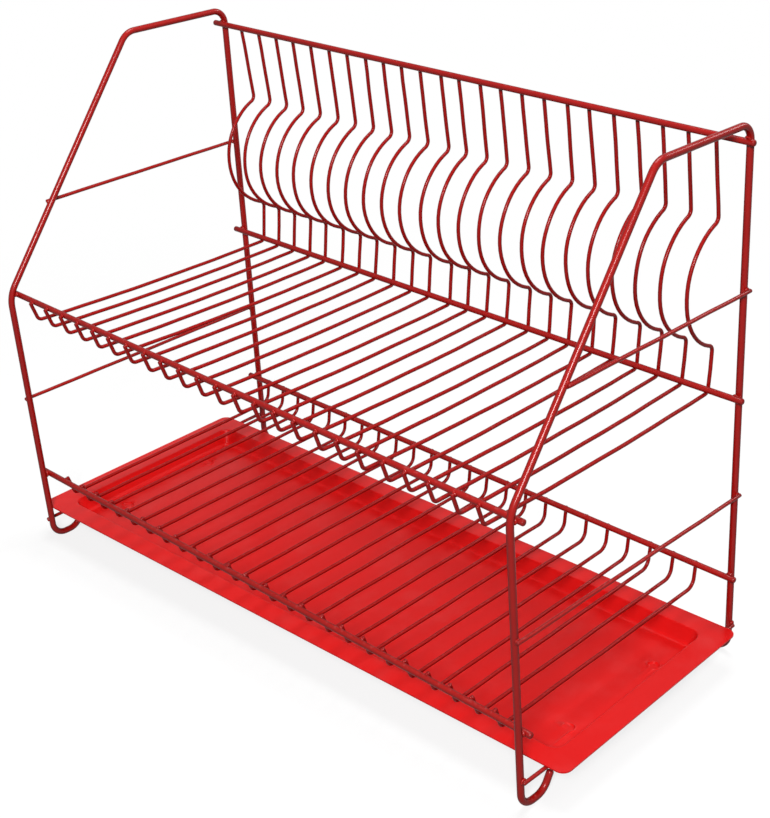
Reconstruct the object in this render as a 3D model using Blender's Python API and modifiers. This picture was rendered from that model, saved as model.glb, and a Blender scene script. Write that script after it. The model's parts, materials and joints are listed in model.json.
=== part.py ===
"""Two-tier dish rack: a welded frame of bent, coated steel wire with a moulded drip tray.

Metres, +Z up. X runs along the rails, -Y is the front, the feet stand on z = 0.
The rack is two bent side frames joined by five cross rails. Twenty-four bent wires make the
upper shelf and its plate slots, twenty-four more make the lower shelf, and thin bars tie the
side frames. The drip tray hangs by its flange on the two lowest side bars. The small skews
and tilts are those of one hand-loaded, hand-laid rack.
"""

import math

import bmesh
import bpy
from mathutils import Vector

# Wire diameters, coating included
FRAME_WIRE = 0.0050
RAIL_WIRE = 0.0045
THIN_WIRE = 0.0028

# Gap kept between pieces that are welded or rest on each other
TOUCH_GAP = 0.0003
# Depth to which a bar is sunk in the frame wire where the two are one weldment
WELD_DEPTH = 0.0004

# Side frames: spacing of their planes, height of the top bar and places of the bends
FRAME_SPACING = 0.500
TOP_BAR_HEIGHT = 0.4030
FRONT_FOOT_Y = -0.1050
REAR_FOOT_Y = 0.1296
FRONT_BEND_Y = -0.1200
FRONT_BEND_HEIGHT = 0.2218
TOP_FRONT_Y = 0.0110
TOP_REAR_Y = 0.1112
FRONT_BEND_RADIUS = 0.025
TOP_FRONT_RADIUS = 0.015
TOP_REAR_RADIUS = 0.012

# Feet: a front leg turns under, lies flat for a short run and rises to a free end. A rear leg
# is plumb for a short run, turns inward and ends in a flat run.
FOOT_BEND_RADIUS = 0.012
FOOT_FLAT_RUN = 0.003
REAR_PLUMB_RUN = 0.003
REAR_FOOT_RUN = 0.012
FOOT_RISE = math.radians(60)
FOOT_TAIL = 0.008

# Cross rails: heights of their centre lines, or how far under the top bar. The upper front
# rail lies in the crook of the front bends, turned down from the bend's middle at each end.
TOP_RAIL_DROP = 0.0110
SHELF_REAR_HEIGHT = 0.2098
LOWER_REAR_HEIGHT = 0.0670
LOWER_FRONT_HEIGHT = 0.0610
RAIL_OVERHANG = 0.0070
CROOK_TURNS = (math.radians(-4), math.radians(8))

# Side bars: heights of their centre lines and how far their ends pass the legs
GUARD_BAR_HEIGHT = 0.2890
MIDDLE_BAR_HEIGHT = 0.1335
TRAY_BAR_HEIGHT = 0.0255
BAR_OVERHANG = 0.0020
# How much lower the front ends of the side bars sit, left and right
GUARD_BAR_DROPS = (0.0030, 0.0)
MIDDLE_BAR_DROPS = (0.0030, 0.0)
TRAY_BAR_DROPS = (0.0085, 0.0)

# Shelf wires: how many, the width between a side frame and the first upper wire, and how far
# the lower row sits to the left of the upper one
WIRE_COUNT = 24
WIRE_END_GAP = 0.0240
LOWER_ROW_SHIFT = 0.0050
# Unevenness of the hand-loaded wires, as shares of the pitch: an upper wire at the top rail,
# the shelf's rear rail and its front rail, then a lower wire at its two rails
UPPER_TOP_SHARES = (
    -0.15, -0.10, -0.06, -0.06, -0.02, 0.02, 0.02, 0.04, -0.01, -0.06, -0.09, -0.04,
    -0.16, -0.12, -0.16, -0.17, -0.16, -0.12, -0.18, -0.13, -0.15, -0.12, -0.11, -0.03,
)
UPPER_REAR_SHARES = (
    0.11, 0.06, 0.03, 0.01, -0.06, -0.04, -0.05, -0.11, -0.08, -0.08, -0.13, -0.01,
    -0.08, -0.11, -0.10, -0.04, -0.03, -0.11, -0.02, -0.10, -0.01, -0.09, -0.07, 0.01,
)
UPPER_FRONT_SHARES = (
    -0.08, -0.12, -0.14, -0.15, -0.17, -0.20, -0.17, -0.13, -0.15, -0.15, -0.14, -0.17,
    -0.19, -0.17, -0.20, -0.22, -0.17, -0.18, -0.21, -0.10, -0.16, -0.15, -0.12, -0.11,
)
LOWER_REAR_SHARES = (
    -0.22, -0.25, -0.26, -0.26, -0.23, -0.23, -0.20, -0.18, -0.14, -0.11, -0.10, -0.08,
    0.02, -0.06, -0.01, -0.02, 0.00, -0.01, 0.01, 0.02, 0.00, 0.01, 0.03, 0.02,
)
LOWER_FRONT_SHARES = (
    0.11, 0.12, 0.06, 0.04, 0.03, 0.02, 0.04, 0.04, 0.07, 0.05, 0.12, 0.09,
    0.19, 0.15, 0.11, 0.14, 0.12, 0.17, 0.13, 0.17, 0.21, 0.18, 0.16, 0.15,
)

# Upper wire: the plate bulge between two knees, then the shelf and its front lip
UPPER_KNEE_DROP = 0.0620
LOWER_KNEE_RISE = 0.0300
UPPER_KNEE_SETBACK = 0.0060
LOWER_KNEE_SETBACK = 0.0040
BULGE_DEPTH = 0.0335
KNEE_RADIUS = 0.005
SHELF_SAG = 0.0020
LIP_HEIGHT = 0.0156
LIP_LEAN = 0.0060
LIP_RADIUS = 0.005
LIP_END_RISE = 0.0004

# Lower wire: the shelf run hangs under its rails, turning up at both ends; the front end leans
LOWER_RUN_HEIGHT = 0.0465
LOWER_FRONT_RADIUS = 0.004
LOWER_FRONT_LEAN = math.radians(20)
LOWER_REAR_RADIUS = 0.008
LOWER_REAR_LEAN = 0.0026
FRONT_TIP_RISE = 0.0010

# Drip tray: flange on the side bars and a pan that hangs between them
TRAY_WALL = 0.0010
TRAY_SIDE_OVERHANG = 0.0113
TRAY_END_CLEARANCE = 0.0122
TRAY_CORNER_RADIUS = 0.0070
PAN_SIDE_CLEARANCE = 0.0031
FLANGE_END_WIDTH = 0.0166
PAN_DEPTH = 0.0120
PAN_SIDE_RUN = 0.0050
PAN_END_RUN = 0.0050
PAN_CORNER_RADIUS = 0.0090
# The tray lies pushed forward of the middle between the legs, and turned a little
TRAY_FORWARD = 0.0036
TRAY_TURN = math.radians(1.8)

# Steps in the bends, and bevel resolutions: 2 gives a tube 8 sides, 4 gives it 12. Points of a
# tube closer than the merge share of the touch gap are one point.
BEND_STEPS = 3
FOOT_STEPS = 4
KNEE_STEPS = 2
BULGE_STEPS = 6
CORNER_STEPS = 5
THICK_RESOLUTION = 4
THIN_RESOLUTION = 2
MERGE_SHARE = 0.1

# Sides in the order of the paired values above
SIDES = ("left", "right")

# Colours as linear values, with roughness and metallic
COAT_RED = (0.42, 0.012, 0.010)
WIRE_RED = (0.38, 0.010, 0.010)
TRAY_RED = (0.66, 0.018, 0.018)
COAT_ROUGHNESS = 0.32
TRAY_ROUGHNESS = 0.24
NO_METAL = 0.0

# Values worked out from the sizes above
FRAME_RADIUS = FRAME_WIRE / 2
RAIL_RADIUS = RAIL_WIRE / 2
THIN_RADIUS = THIN_WIRE / 2
THICK_SIDES = 4 + 2 * THICK_RESOLUTION
FRAME_X = FRAME_SPACING / 2
FLAT_RADIUS = FRAME_RADIUS * math.cos(math.pi / THICK_SIDES)
FOOT_HEIGHT = FLAT_RADIUS
RAIL_TO_LEG = FRAME_RADIUS + RAIL_RADIUS + TOUCH_GAP
WIRE_TO_RAIL = RAIL_RADIUS + THIN_RADIUS + TOUCH_GAP
BAR_TO_FRAME = FRAME_RADIUS + THIN_RADIUS + TOUCH_GAP
WELDED_BAR_TO_FRAME = FRAME_RADIUS + THIN_RADIUS - WELD_DEPTH
TOP_RAIL_HEIGHT = TOP_BAR_HEIGHT - TOP_RAIL_DROP


def line_y(height, low, high):
    """y of the straight line through two (y, z) points at a height."""
    share = (height - low[1]) / (high[1] - low[1])
    return low[0] + share * (high[0] - low[0])


def rear_leg_y(height):
    """Centre line of the rear leg, which leans forward as it rises."""
    return line_y(height, (REAR_FOOT_Y, FOOT_HEIGHT), (TOP_REAR_Y, TOP_BAR_HEIGHT))


def front_leg_y(height):
    """Centre line of the front of the side frame: lower leg, then slanted member."""
    if height <= FRONT_BEND_HEIGHT:
        return line_y(height, (FRONT_FOOT_Y, FOOT_HEIGHT), (FRONT_BEND_Y, FRONT_BEND_HEIGHT))
    return line_y(height, (FRONT_BEND_Y, FRONT_BEND_HEIGHT), (TOP_FRONT_Y, TOP_BAR_HEIGHT))


def bend(before, corner, after, radius, steps):
    """Points of the round bend that replaces a corner of a (y, z) path."""
    into = (Vector(corner) - Vector(before)).normalized()
    out = (Vector(after) - Vector(corner)).normalized()
    turn = into.angle(out)
    tangent = radius * math.tan(turn / 2)
    start = Vector(corner) - into * tangent
    side = Vector((-into.y, into.x))
    if side.dot(out) < 0:
        side.negate()
    centre = start + side * radius
    points = []
    for step in range(steps + 1):
        angle = turn * step / steps
        points.append(centre - side * radius * math.cos(angle) + into * radius * math.sin(angle))
    return points


def bent_path(corners):
    """A (y, z) path with each inner corner (y, z, radius, steps) made a round bend."""
    points = [Vector(corners[0][:2])]
    for before, corner, after in zip(corners, corners[1:], corners[2:]):
        if corner[2] > 0:
            points += bend(before[:2], corner[:2], after[:2], corner[2], corner[3])
        else:
            points.append(Vector(corner[:2]))
    points.append(Vector(corners[-1][:2]))
    return points


def bend_centre(before, corner, after, radius):
    """Centre of the round bend at a corner of a (y, z) path."""
    back = (Vector(before) - Vector(corner)).normalized()
    ahead = (Vector(after) - Vector(corner)).normalized()
    return Vector(corner) + (back + ahead).normalized() * radius / math.sin(back.angle(ahead) / 2)


def bulge_points(first, last, depth, steps):
    """Inner points of the arc from first to last that stands depth forward of their chord."""
    first = Vector(first)
    last = Vector(last)
    half_chord = (last - first).length / 2
    along = (last - first).normalized()
    forward = Vector((along.y, -along.x))
    radius = (half_chord ** 2 + depth ** 2) / (2 * depth)
    centre = (first + last) / 2 + forward * (depth - radius)
    half_angle = math.atan2(half_chord, radius - depth)
    points = []
    for step in range(1, steps):
        angle = half_angle * (2 * step / steps - 1)
        points.append(centre + forward * radius * math.cos(angle) + along * radius * math.sin(angle))
    return points


def front_foot_corners():
    """Corners of a front hook foot from its free end to the leg."""
    rise_tangent = FOOT_BEND_RADIUS * math.tan(FOOT_RISE / 2)
    turn_y = FRONT_FOOT_Y + FOOT_BEND_RADIUS + FOOT_FLAT_RUN + rise_tangent
    tail = rise_tangent + FOOT_TAIL
    end_y = turn_y + tail * math.cos(FOOT_RISE)
    end_height = FOOT_HEIGHT + tail * math.sin(FOOT_RISE)
    return [
        (end_y, end_height, 0, 0),
        (turn_y, FOOT_HEIGHT, FOOT_BEND_RADIUS, FOOT_STEPS),
        (FRONT_FOOT_Y, FOOT_HEIGHT, FOOT_BEND_RADIUS, FOOT_STEPS),
    ]


def side_frame_path(sign):
    """Path of a side frame from the front foot over the top to the end of the rear foot."""
    corners = front_foot_corners()
    corners.append((FRONT_BEND_Y, FRONT_BEND_HEIGHT, FRONT_BEND_RADIUS, BEND_STEPS))
    corners.append((TOP_FRONT_Y, TOP_BAR_HEIGHT, TOP_FRONT_RADIUS, BEND_STEPS))
    corners.append((TOP_REAR_Y, TOP_BAR_HEIGHT, TOP_REAR_RADIUS, BEND_STEPS))
    foot_top = FOOT_HEIGHT + FOOT_BEND_RADIUS
    foot_y = rear_leg_y(foot_top + REAR_PLUMB_RUN)
    corners.append((foot_y, foot_top + REAR_PLUMB_RUN, 0, 0))
    corners.append((foot_y, foot_top))
    points = side_path(bent_path(corners), sign * FRAME_X)
    for step in range(1, FOOT_STEPS + 1):
        angle = math.pi / 2 * step / FOOT_STEPS
        inward = FOOT_BEND_RADIUS * (1 - math.cos(angle))
        height = foot_top - FOOT_BEND_RADIUS * math.sin(angle)
        points.append(Vector((sign * (FRAME_X - inward), foot_y, height)))
    end_x = FRAME_X - FOOT_BEND_RADIUS - REAR_FOOT_RUN
    points.append(Vector((sign * end_x, foot_y, FOOT_HEIGHT)))
    return points


def rail_place(name, x):
    """(y, z) of a rail's centre line at x; its ends may differ a little in height."""
    left, right = RAILS[name]
    return left.lerp(right, (x + FRAME_X) / FRAME_SPACING)


def upper_wire_path(front_x):
    """Path of an upper wire from the top rail, round the plate bulge, to the front lip."""
    top = (TOP_RAIL_Y + WIRE_TO_RAIL, TOP_RAIL_HEIGHT)
    foot = (SHELF_REAR_Y + WIRE_TO_RAIL, SHELF_REAR_HEIGHT)
    upper_height = TOP_RAIL_HEIGHT - UPPER_KNEE_DROP
    lower_height = SHELF_REAR_HEIGHT + LOWER_KNEE_RISE
    upper_knee = (line_y(upper_height, foot, top) + UPPER_KNEE_SETBACK, upper_height)
    lower_knee = (line_y(lower_height, foot, top) + LOWER_KNEE_SETBACK, lower_height)
    front = rail_place("upper_shelf_front_rail", front_x)
    run_start = Vector((foot[0], SHELF_REAR_HEIGHT - WIRE_TO_RAIL))
    lip_y = front.x - WIRE_TO_RAIL
    run_end = Vector((lip_y + LIP_LEAN, front.y - LIP_HEIGHT))
    middle = (run_start + run_end) / 2
    corners = [top, (*upper_knee, KNEE_RADIUS, KNEE_STEPS)]
    for point in bulge_points(upper_knee, lower_knee, BULGE_DEPTH, BULGE_STEPS):
        corners.append((point.x, point.y, 0, 0))
    corners.append((*lower_knee, KNEE_RADIUS, KNEE_STEPS))
    corners.append((*foot, 0, 0))
    corners.append((*run_start, WIRE_TO_RAIL, BEND_STEPS))
    corners.append((middle.x, middle.y - SHELF_SAG, 0, 0))
    corners.append((*run_end, LIP_RADIUS, KNEE_STEPS))
    corners.append((lip_y, front.y + LIP_END_RISE))
    return bent_path(corners)


def lower_wire_path():
    """Path of a lower wire from the lower front rail to the lower rear rail."""
    along = Vector((-math.sin(LOWER_FRONT_LEAN), math.cos(LOWER_FRONT_LEAN)))
    across = Vector((math.cos(LOWER_FRONT_LEAN), math.sin(LOWER_FRONT_LEAN)))
    touch = Vector((LOWER_FRONT_Y, LOWER_FRONT_HEIGHT)) + across * WIRE_TO_RAIL
    bottom = touch + along * (LOWER_RUN_HEIGHT - touch.y) / along.y
    rear_y = LOWER_REAR_Y + WIRE_TO_RAIL
    corners = [
        tuple(touch + along * FRONT_TIP_RISE),
        (*bottom, LOWER_FRONT_RADIUS, BEND_STEPS),
        (rear_y - LOWER_REAR_LEAN, LOWER_RUN_HEIGHT, LOWER_REAR_RADIUS, BEND_STEPS),
        (rear_y, LOWER_REAR_HEIGHT),
    ]
    return bent_path(corners)


def wire_positions(row_shift, shares):
    """x of each wire of a row at one rail, evenly pitched but for its share of drift."""
    first = WIRE_END_GAP - FRAME_X + row_shift
    pitch = (FRAME_SPACING - 2 * WIRE_END_GAP) / (WIRE_COUNT - 1)
    return [first + pitch * (index + share) for index, share in enumerate(shares)]


def skewed_path(path, ends):
    """A (y, z) path in 3-D, its x eased along y between the (y, x) pairs of its two ends."""
    (front_y, front_x), (rear_y, rear_x) = ends
    points = []
    for point in path:
        share = min(max((point.x - front_y) / (rear_y - front_y), 0), 1)
        points.append(Vector((front_x + share * (rear_x - front_x), point.x, point.y)))
    return points


# The front bend: its centre, and the places in its crook where the upper front rail's ends lie
FRONT_FOOT = (FRONT_FOOT_Y, FOOT_HEIGHT)
FRONT_BEND = (FRONT_BEND_Y, FRONT_BEND_HEIGHT)
TOP_FRONT = (TOP_FRONT_Y, TOP_BAR_HEIGHT)
FRONT_BEND_CENTRE = bend_centre(FRONT_FOOT, FRONT_BEND, TOP_FRONT, FRONT_BEND_RADIUS)
TO_FRONT = (Vector(FRONT_BEND) - FRONT_BEND_CENTRE).normalized()
SHELF_FRONT_ENDS = []
for turn in CROOK_TURNS:
    to_rail = Vector((
        TO_FRONT.x * math.cos(turn) - TO_FRONT.y * math.sin(turn),
        TO_FRONT.x * math.sin(turn) + TO_FRONT.y * math.cos(turn),
    ))
    SHELF_FRONT_ENDS.append(FRONT_BEND_CENTRE + to_rail * (FRONT_BEND_RADIUS - RAIL_TO_LEG))

# Where each other rail lies across the rack: against the legs that carry it
TOP_RAIL_Y = rear_leg_y(TOP_RAIL_HEIGHT) - RAIL_TO_LEG
SHELF_REAR_Y = rear_leg_y(SHELF_REAR_HEIGHT) - RAIL_TO_LEG
LOWER_REAR_Y = rear_leg_y(LOWER_REAR_HEIGHT) - RAIL_TO_LEG
LOWER_FRONT_Y = front_leg_y(LOWER_FRONT_HEIGHT) + RAIL_TO_LEG

# (y, z) of each rail's centre line at the left and right side frames
RAILS = {
    "top_rear_rail": (Vector((TOP_RAIL_Y, TOP_RAIL_HEIGHT)),) * 2,
    "upper_shelf_rear_rail": (Vector((SHELF_REAR_Y, SHELF_REAR_HEIGHT)),) * 2,
    "upper_shelf_front_rail": tuple(SHELF_FRONT_ENDS),
    "lower_shelf_rear_rail": (Vector((LOWER_REAR_Y, LOWER_REAR_HEIGHT)),) * 2,
    "lower_shelf_front_rail": (Vector((LOWER_FRONT_Y, LOWER_FRONT_HEIGHT)),) * 2,
}

# The rack's middle, between its foremost bend and the back of its rear feet
FOREMOST_Y = FRONT_BEND_CENTRE.x - FRONT_BEND_RADIUS - FLAT_RADIUS
REARMOST_Y = rear_leg_y(FOOT_HEIGHT + FOOT_BEND_RADIUS + REAR_PLUMB_RUN) + FLAT_RADIUS
MIDDLE_Y = (FOREMOST_Y + REARMOST_Y) / 2


def clear_scene():
    """Remove every object that the new file starts with."""
    for obj in list(bpy.data.objects):
        bpy.data.objects.remove(obj, do_unlink=True)


def make_material(name, colour, roughness):
    """A plain Principled material in a linear colour."""
    material = bpy.data.materials.new(name)
    material.use_nodes = True
    shader = material.node_tree.nodes["Principled BSDF"]
    shader.inputs["Base Color"].default_value = (*colour, 1.0)
    shader.inputs["Roughness"].default_value = roughness
    shader.inputs["Metallic"].default_value = NO_METAL
    return material


def add_wire(name, points, radius, resolution, material, collection, origin):
    """A bent round wire: a poly curve with a bevel and filled caps."""
    curve = bpy.data.curves.new(name, "CURVE")
    curve.dimensions = "3D"
    curve.bevel_depth = radius
    curve.bevel_resolution = resolution
    curve.use_fill_caps = True
    spline = curve.splines.new("POLY")
    spline.points.add(len(points) - 1)
    for spline_point, point in zip(spline.points, points):
        spline_point.co = (*point, 1.0)
        spline_point.tilt = math.pi / (4 + 2 * resolution)
    spline.use_smooth = True
    curve.materials.append(material)
    wire = bpy.data.objects.new(name, curve)
    wire.parent = origin
    collection.objects.link(wire)
    return wire


def side_path(points, x):
    """A (y, z) path placed in the plane at x."""
    return [Vector((x, point.x, point.y)) for point in points]


def wire_to_mesh(wire, collection):
    """The same wire as a welded mesh object, which a Boolean modifier can use."""
    bpy.context.view_layer.update()
    graph = bpy.context.evaluated_depsgraph_get()
    mesh = bpy.data.meshes.new_from_object(wire.evaluated_get(graph))
    shape = bmesh.new()
    shape.from_mesh(mesh)
    bmesh.ops.remove_doubles(shape, verts=shape.verts, dist=TOUCH_GAP * MERGE_SHARE)
    bmesh.ops.recalc_face_normals(shape, faces=shape.faces)
    shape.to_mesh(mesh)
    shape.free()
    name = wire.name
    solid = bpy.data.objects.new(name + "_solid", mesh)
    solid.matrix_world = wire.matrix_world
    collection.objects.link(solid)
    bpy.data.objects.remove(wire, do_unlink=True)
    solid.name = name
    return solid


def bar_path(height, drop, x):
    """Straight side bar from past the front of the side frame, drop lower, to past the rear leg."""
    front_height = height - drop
    front = Vector((x, front_leg_y(front_height) - BAR_OVERHANG, front_height))
    rear = Vector((x, rear_leg_y(height) + BAR_OVERHANG, height))
    return [front, rear]


def add_side(index, material, collection, cutters, origin):
    """One side frame with its middle bar welded on, and its guard and tray bars."""
    side = SIDES[index]
    sign = 2 * index - 1
    frame = add_wire(
        f"side_frame_{side}",
        side_frame_path(sign),
        FRAME_RADIUS,
        THICK_RESOLUTION,
        material,
        collection,
        origin,
    )
    bar_x = sign * (FRAME_X + WELDED_BAR_TO_FRAME)
    middle = add_wire(
        f"middle_bar_{side}",
        bar_path(MIDDLE_BAR_HEIGHT, MIDDLE_BAR_DROPS[index], bar_x),
        THIN_RADIUS,
        THIN_RESOLUTION,
        material,
        cutters,
        origin,
    )
    frame = wire_to_mesh(frame, collection)
    middle = wire_to_mesh(middle, cutters)
    middle.hide_render = True
    middle.display_type = "WIRE"
    weld = frame.modifiers.new("middle_bar", "BOOLEAN")
    weld.operation = "UNION"
    weld.solver = "EXACT"
    weld.object = middle
    outer_x = sign * (FRAME_X + BAR_TO_FRAME)
    bars = (
        ("guard_bar", GUARD_BAR_HEIGHT, GUARD_BAR_DROPS[index]),
        ("tray_bar", TRAY_BAR_HEIGHT, TRAY_BAR_DROPS[index]),
    )
    for name, height, drop in bars:
        add_wire(
            f"{name}_{side}",
            bar_path(height, drop, outer_x),
            THIN_RADIUS,
            THIN_RESOLUTION,
            material,
            collection,
            origin,
        )


def add_rails(material, collection, origin):
    """The five straight cross rails, each lying against the legs that carry it."""
    end_x = FRAME_X + RAIL_OVERHANG
    for name in RAILS:
        points = [Vector((x, *rail_place(name, x))) for x in (-end_x, end_x)]
        add_wire(name, points, RAIL_RADIUS, THICK_RESOLUTION, material, collection, origin)


def add_upper_wires(material, collection, origin):
    """The row of bent wires that makes the plate slots and the upper shelf."""
    tops = wire_positions(0, UPPER_TOP_SHARES)
    rears = wire_positions(0, UPPER_REAR_SHARES)
    fronts = wire_positions(0, UPPER_FRONT_SHARES)
    for index, (top_x, rear_x, front_x) in enumerate(zip(tops, rears, fronts)):
        path = upper_wire_path(front_x)
        ends = ((rail_place("upper_shelf_front_rail", front_x).x, front_x), (SHELF_REAR_Y, rear_x))
        points = skewed_path(path, ends)
        for point in points:
            share = (point.z - SHELF_REAR_HEIGHT) / (TOP_RAIL_HEIGHT - SHELF_REAR_HEIGHT)
            if point.z > SHELF_REAR_HEIGHT and point.y > 0:
                point.x = rear_x + share * (top_x - rear_x)
        name = f"upper_wire_{index + 1:02d}"
        add_wire(name, points, THIN_RADIUS, THIN_RESOLUTION, material, collection, origin)


def add_lower_wires(material, collection, origin):
    """The row of wires that makes the lower shelf."""
    rears = wire_positions(-LOWER_ROW_SHIFT, LOWER_REAR_SHARES)
    fronts = wire_positions(-LOWER_ROW_SHIFT, LOWER_FRONT_SHARES)
    path = lower_wire_path()
    for index, (rear_x, front_x) in enumerate(zip(rears, fronts)):
        points = skewed_path(path, ((LOWER_FRONT_Y, front_x), (LOWER_REAR_Y, rear_x)))
        name = f"lower_wire_{index + 1:02d}"
        add_wire(name, points, THIN_RADIUS, THIN_RESOLUTION, material, collection, origin)


def rounded_rectangle(half_x, half_y, radius, height):
    """Points of a rectangle with round corners, anticlockwise from above."""
    points = []
    for quarter, (side_x, side_y) in enumerate(((1, 1), (-1, 1), (-1, -1), (1, -1))):
        centre_x = side_x * (half_x - radius)
        centre_y = side_y * (half_y - radius)
        for step in range(CORNER_STEPS + 1):
            angle = (quarter + step / CORNER_STEPS) * math.pi / 2
            x = centre_x + radius * math.cos(angle)
            y = centre_y + radius * math.sin(angle)
            points.append(Vector((x, y, height)))
    return points


def add_tray(material, collection, origin):
    """The moulded drip tray: a lofted open surface, thickened downwards by Solidify."""
    bar_outer_x = FRAME_X + BAR_TO_FRAME + THIN_RADIUS
    bar_inner_x = bar_outer_x - THIN_WIRE
    half_x = bar_outer_x + TRAY_SIDE_OVERHANG
    front_y = front_leg_y(TRAY_BAR_HEIGHT) + FRAME_RADIUS + TRAY_END_CLEARANCE
    rear_y = rear_leg_y(TRAY_BAR_HEIGHT) - FRAME_RADIUS - TRAY_END_CLEARANCE
    half_y = (rear_y - front_y) / 2
    pan_x = bar_inner_x - PAN_SIDE_CLEARANCE - TRAY_WALL
    pan_y = half_y - FLANGE_END_WIDTH
    top = TRAY_WALL
    rings = (
        (half_x, half_y, TRAY_CORNER_RADIUS, top),
        (pan_x, pan_y, PAN_CORNER_RADIUS, top),
        (pan_x - PAN_SIDE_RUN, pan_y - PAN_END_RUN, PAN_CORNER_RADIUS - PAN_END_RUN, top - PAN_DEPTH),
    )
    shape = bmesh.new()
    loops = []
    for ring in rings:
        verts = [shape.verts.new(point) for point in rounded_rectangle(*ring)]
        for first, second in zip(verts, verts[1:] + verts[:1]):
            shape.edges.new((first, second))
        loops.append(verts)
    for outer, inner in zip(loops, loops[1:]):
        ends = set(outer + inner)
        edges = [edge for edge in shape.edges if ends.issuperset(edge.verts)]
        bmesh.ops.bridge_loops(shape, edges=edges)
    bmesh.ops.contextual_create(shape, geom=loops[-1])
    bmesh.ops.recalc_face_normals(shape, faces=shape.faces)
    if max(shape.faces, key=lambda face: face.calc_area()).normal.z < 0:
        bmesh.ops.reverse_faces(shape, faces=shape.faces)
    mesh = bpy.data.meshes.new("drip_tray")
    shape.to_mesh(mesh)
    shape.free()
    mesh.materials.append(material)
    tray = bpy.data.objects.new("drip_tray", mesh)
    tray.parent = origin
    seat = TRAY_BAR_HEIGHT + THIN_RADIUS + TOUCH_GAP
    tray.location = (0, (front_y + rear_y) / 2 - TRAY_FORWARD, seat)
    tray.rotation_euler = (0, 0, TRAY_TURN)
    thickness = tray.modifiers.new("wall", "SOLIDIFY")
    thickness.thickness = TRAY_WALL
    thickness.offset = -1
    thickness.use_even_offset = True
    collection.objects.link(tray)
    return tray


def main():
    """Build the whole rack."""
    clear_scene()
    rack = bpy.data.collections.new("dish_rack")
    cutters = bpy.data.collections.new("weld_shapes")
    for collection in (rack, cutters):
        bpy.context.scene.collection.children.link(collection)
    origin = bpy.data.objects.new("rack_origin", None)
    origin.location = (0, -MIDDLE_Y, 0)
    rack.objects.link(origin)
    frame_coat = make_material("frame_coat", COAT_RED, COAT_ROUGHNESS)
    rail_coat = make_material("rail_coat", COAT_RED, COAT_ROUGHNESS)
    wire_coat = make_material("wire_coat", WIRE_RED, COAT_ROUGHNESS)
    tray_plastic = make_material("tray_plastic", TRAY_RED, TRAY_ROUGHNESS)
    for index in range(len(SIDES)):
        add_side(index, frame_coat, rack, cutters, origin)
    add_rails(rail_coat, rack, origin)
    add_upper_wires(wire_coat, rack, origin)
    add_lower_wires(wire_coat, rack, origin)
    add_tray(tray_plastic, rack, origin)


main()
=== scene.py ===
"""Looks of the two-tier dish rack: round coated wire, weld beads and a moulded drip tray.

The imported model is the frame. Each wire, rail and bar there is replaced by a smooth round one in
the same place, with domed ends and beads of coated weld at its crossings, and the tray by a
moulded shell with soft edges. Metres, +Z up, -Y is the front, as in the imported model.
"""

from __future__ import annotations

import json
import logging
import math
import random
from dataclasses import dataclass
from enum import Enum
from typing import Callable, Sequence

import bmesh
import bpy
from mathutils import Matrix, Vector

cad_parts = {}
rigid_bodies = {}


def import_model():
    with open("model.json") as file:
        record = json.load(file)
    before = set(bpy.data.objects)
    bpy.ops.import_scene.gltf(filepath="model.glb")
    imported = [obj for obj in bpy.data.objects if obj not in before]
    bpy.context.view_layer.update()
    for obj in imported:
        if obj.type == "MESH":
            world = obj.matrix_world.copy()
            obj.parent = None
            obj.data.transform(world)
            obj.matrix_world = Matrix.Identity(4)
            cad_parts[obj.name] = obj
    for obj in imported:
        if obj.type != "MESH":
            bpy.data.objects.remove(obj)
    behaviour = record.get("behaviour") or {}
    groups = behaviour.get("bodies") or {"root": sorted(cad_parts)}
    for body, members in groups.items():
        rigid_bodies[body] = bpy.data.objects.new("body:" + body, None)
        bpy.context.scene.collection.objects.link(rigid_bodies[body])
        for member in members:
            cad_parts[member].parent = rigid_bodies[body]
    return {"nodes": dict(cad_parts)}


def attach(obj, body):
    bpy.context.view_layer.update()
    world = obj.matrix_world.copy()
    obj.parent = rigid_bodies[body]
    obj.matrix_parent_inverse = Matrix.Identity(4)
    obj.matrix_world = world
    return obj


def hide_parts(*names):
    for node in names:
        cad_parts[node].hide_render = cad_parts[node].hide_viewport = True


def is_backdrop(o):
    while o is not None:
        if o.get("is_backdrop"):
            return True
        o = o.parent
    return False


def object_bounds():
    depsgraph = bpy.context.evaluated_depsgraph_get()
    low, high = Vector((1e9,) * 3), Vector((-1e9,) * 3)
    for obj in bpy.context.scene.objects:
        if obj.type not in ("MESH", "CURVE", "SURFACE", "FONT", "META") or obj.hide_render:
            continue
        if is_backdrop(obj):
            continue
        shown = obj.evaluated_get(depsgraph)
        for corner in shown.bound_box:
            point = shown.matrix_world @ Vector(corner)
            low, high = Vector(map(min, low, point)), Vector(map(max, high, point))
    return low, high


LOG = logging.getLogger("dish_rack")
RACK_BODY = "rack_frame"
TRAY_BODY = "tray"

Colour = tuple[float, float, float]
Point2 = tuple[float, float]
Point3 = tuple[float, float, float]
Mesh = bpy.types.Mesh
Material = bpy.types.Material
Node = bpy.types.Node
Socket = bpy.types.NodeSocket


class Side(Enum):
    """The two ends of the rack."""

    LEFT = -1
    RIGHT = 1

    @property
    def word(self) -> str:
        """The side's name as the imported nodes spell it."""
        return self.name.lower()

    def pick(self, pair: Point2) -> float:
        """This side's value of a (left, right) pair."""
        return pair[(self.value + 1) // 2]


class Row(Enum):
    """The two rows of shelf wires."""

    UPPER = "upper_wire"
    LOWER = "lower_wire"


# Centre lines


@dataclass(frozen=True)
class Corner:
    """A corner of a path in the plane across the rails, with the radius of its round bend."""

    y: float
    z: float
    radius: float = 0.0

    @property
    def place(self) -> Vector:
        """The corner as a (y, z) vector."""
        return Vector((self.y, self.z))


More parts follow.
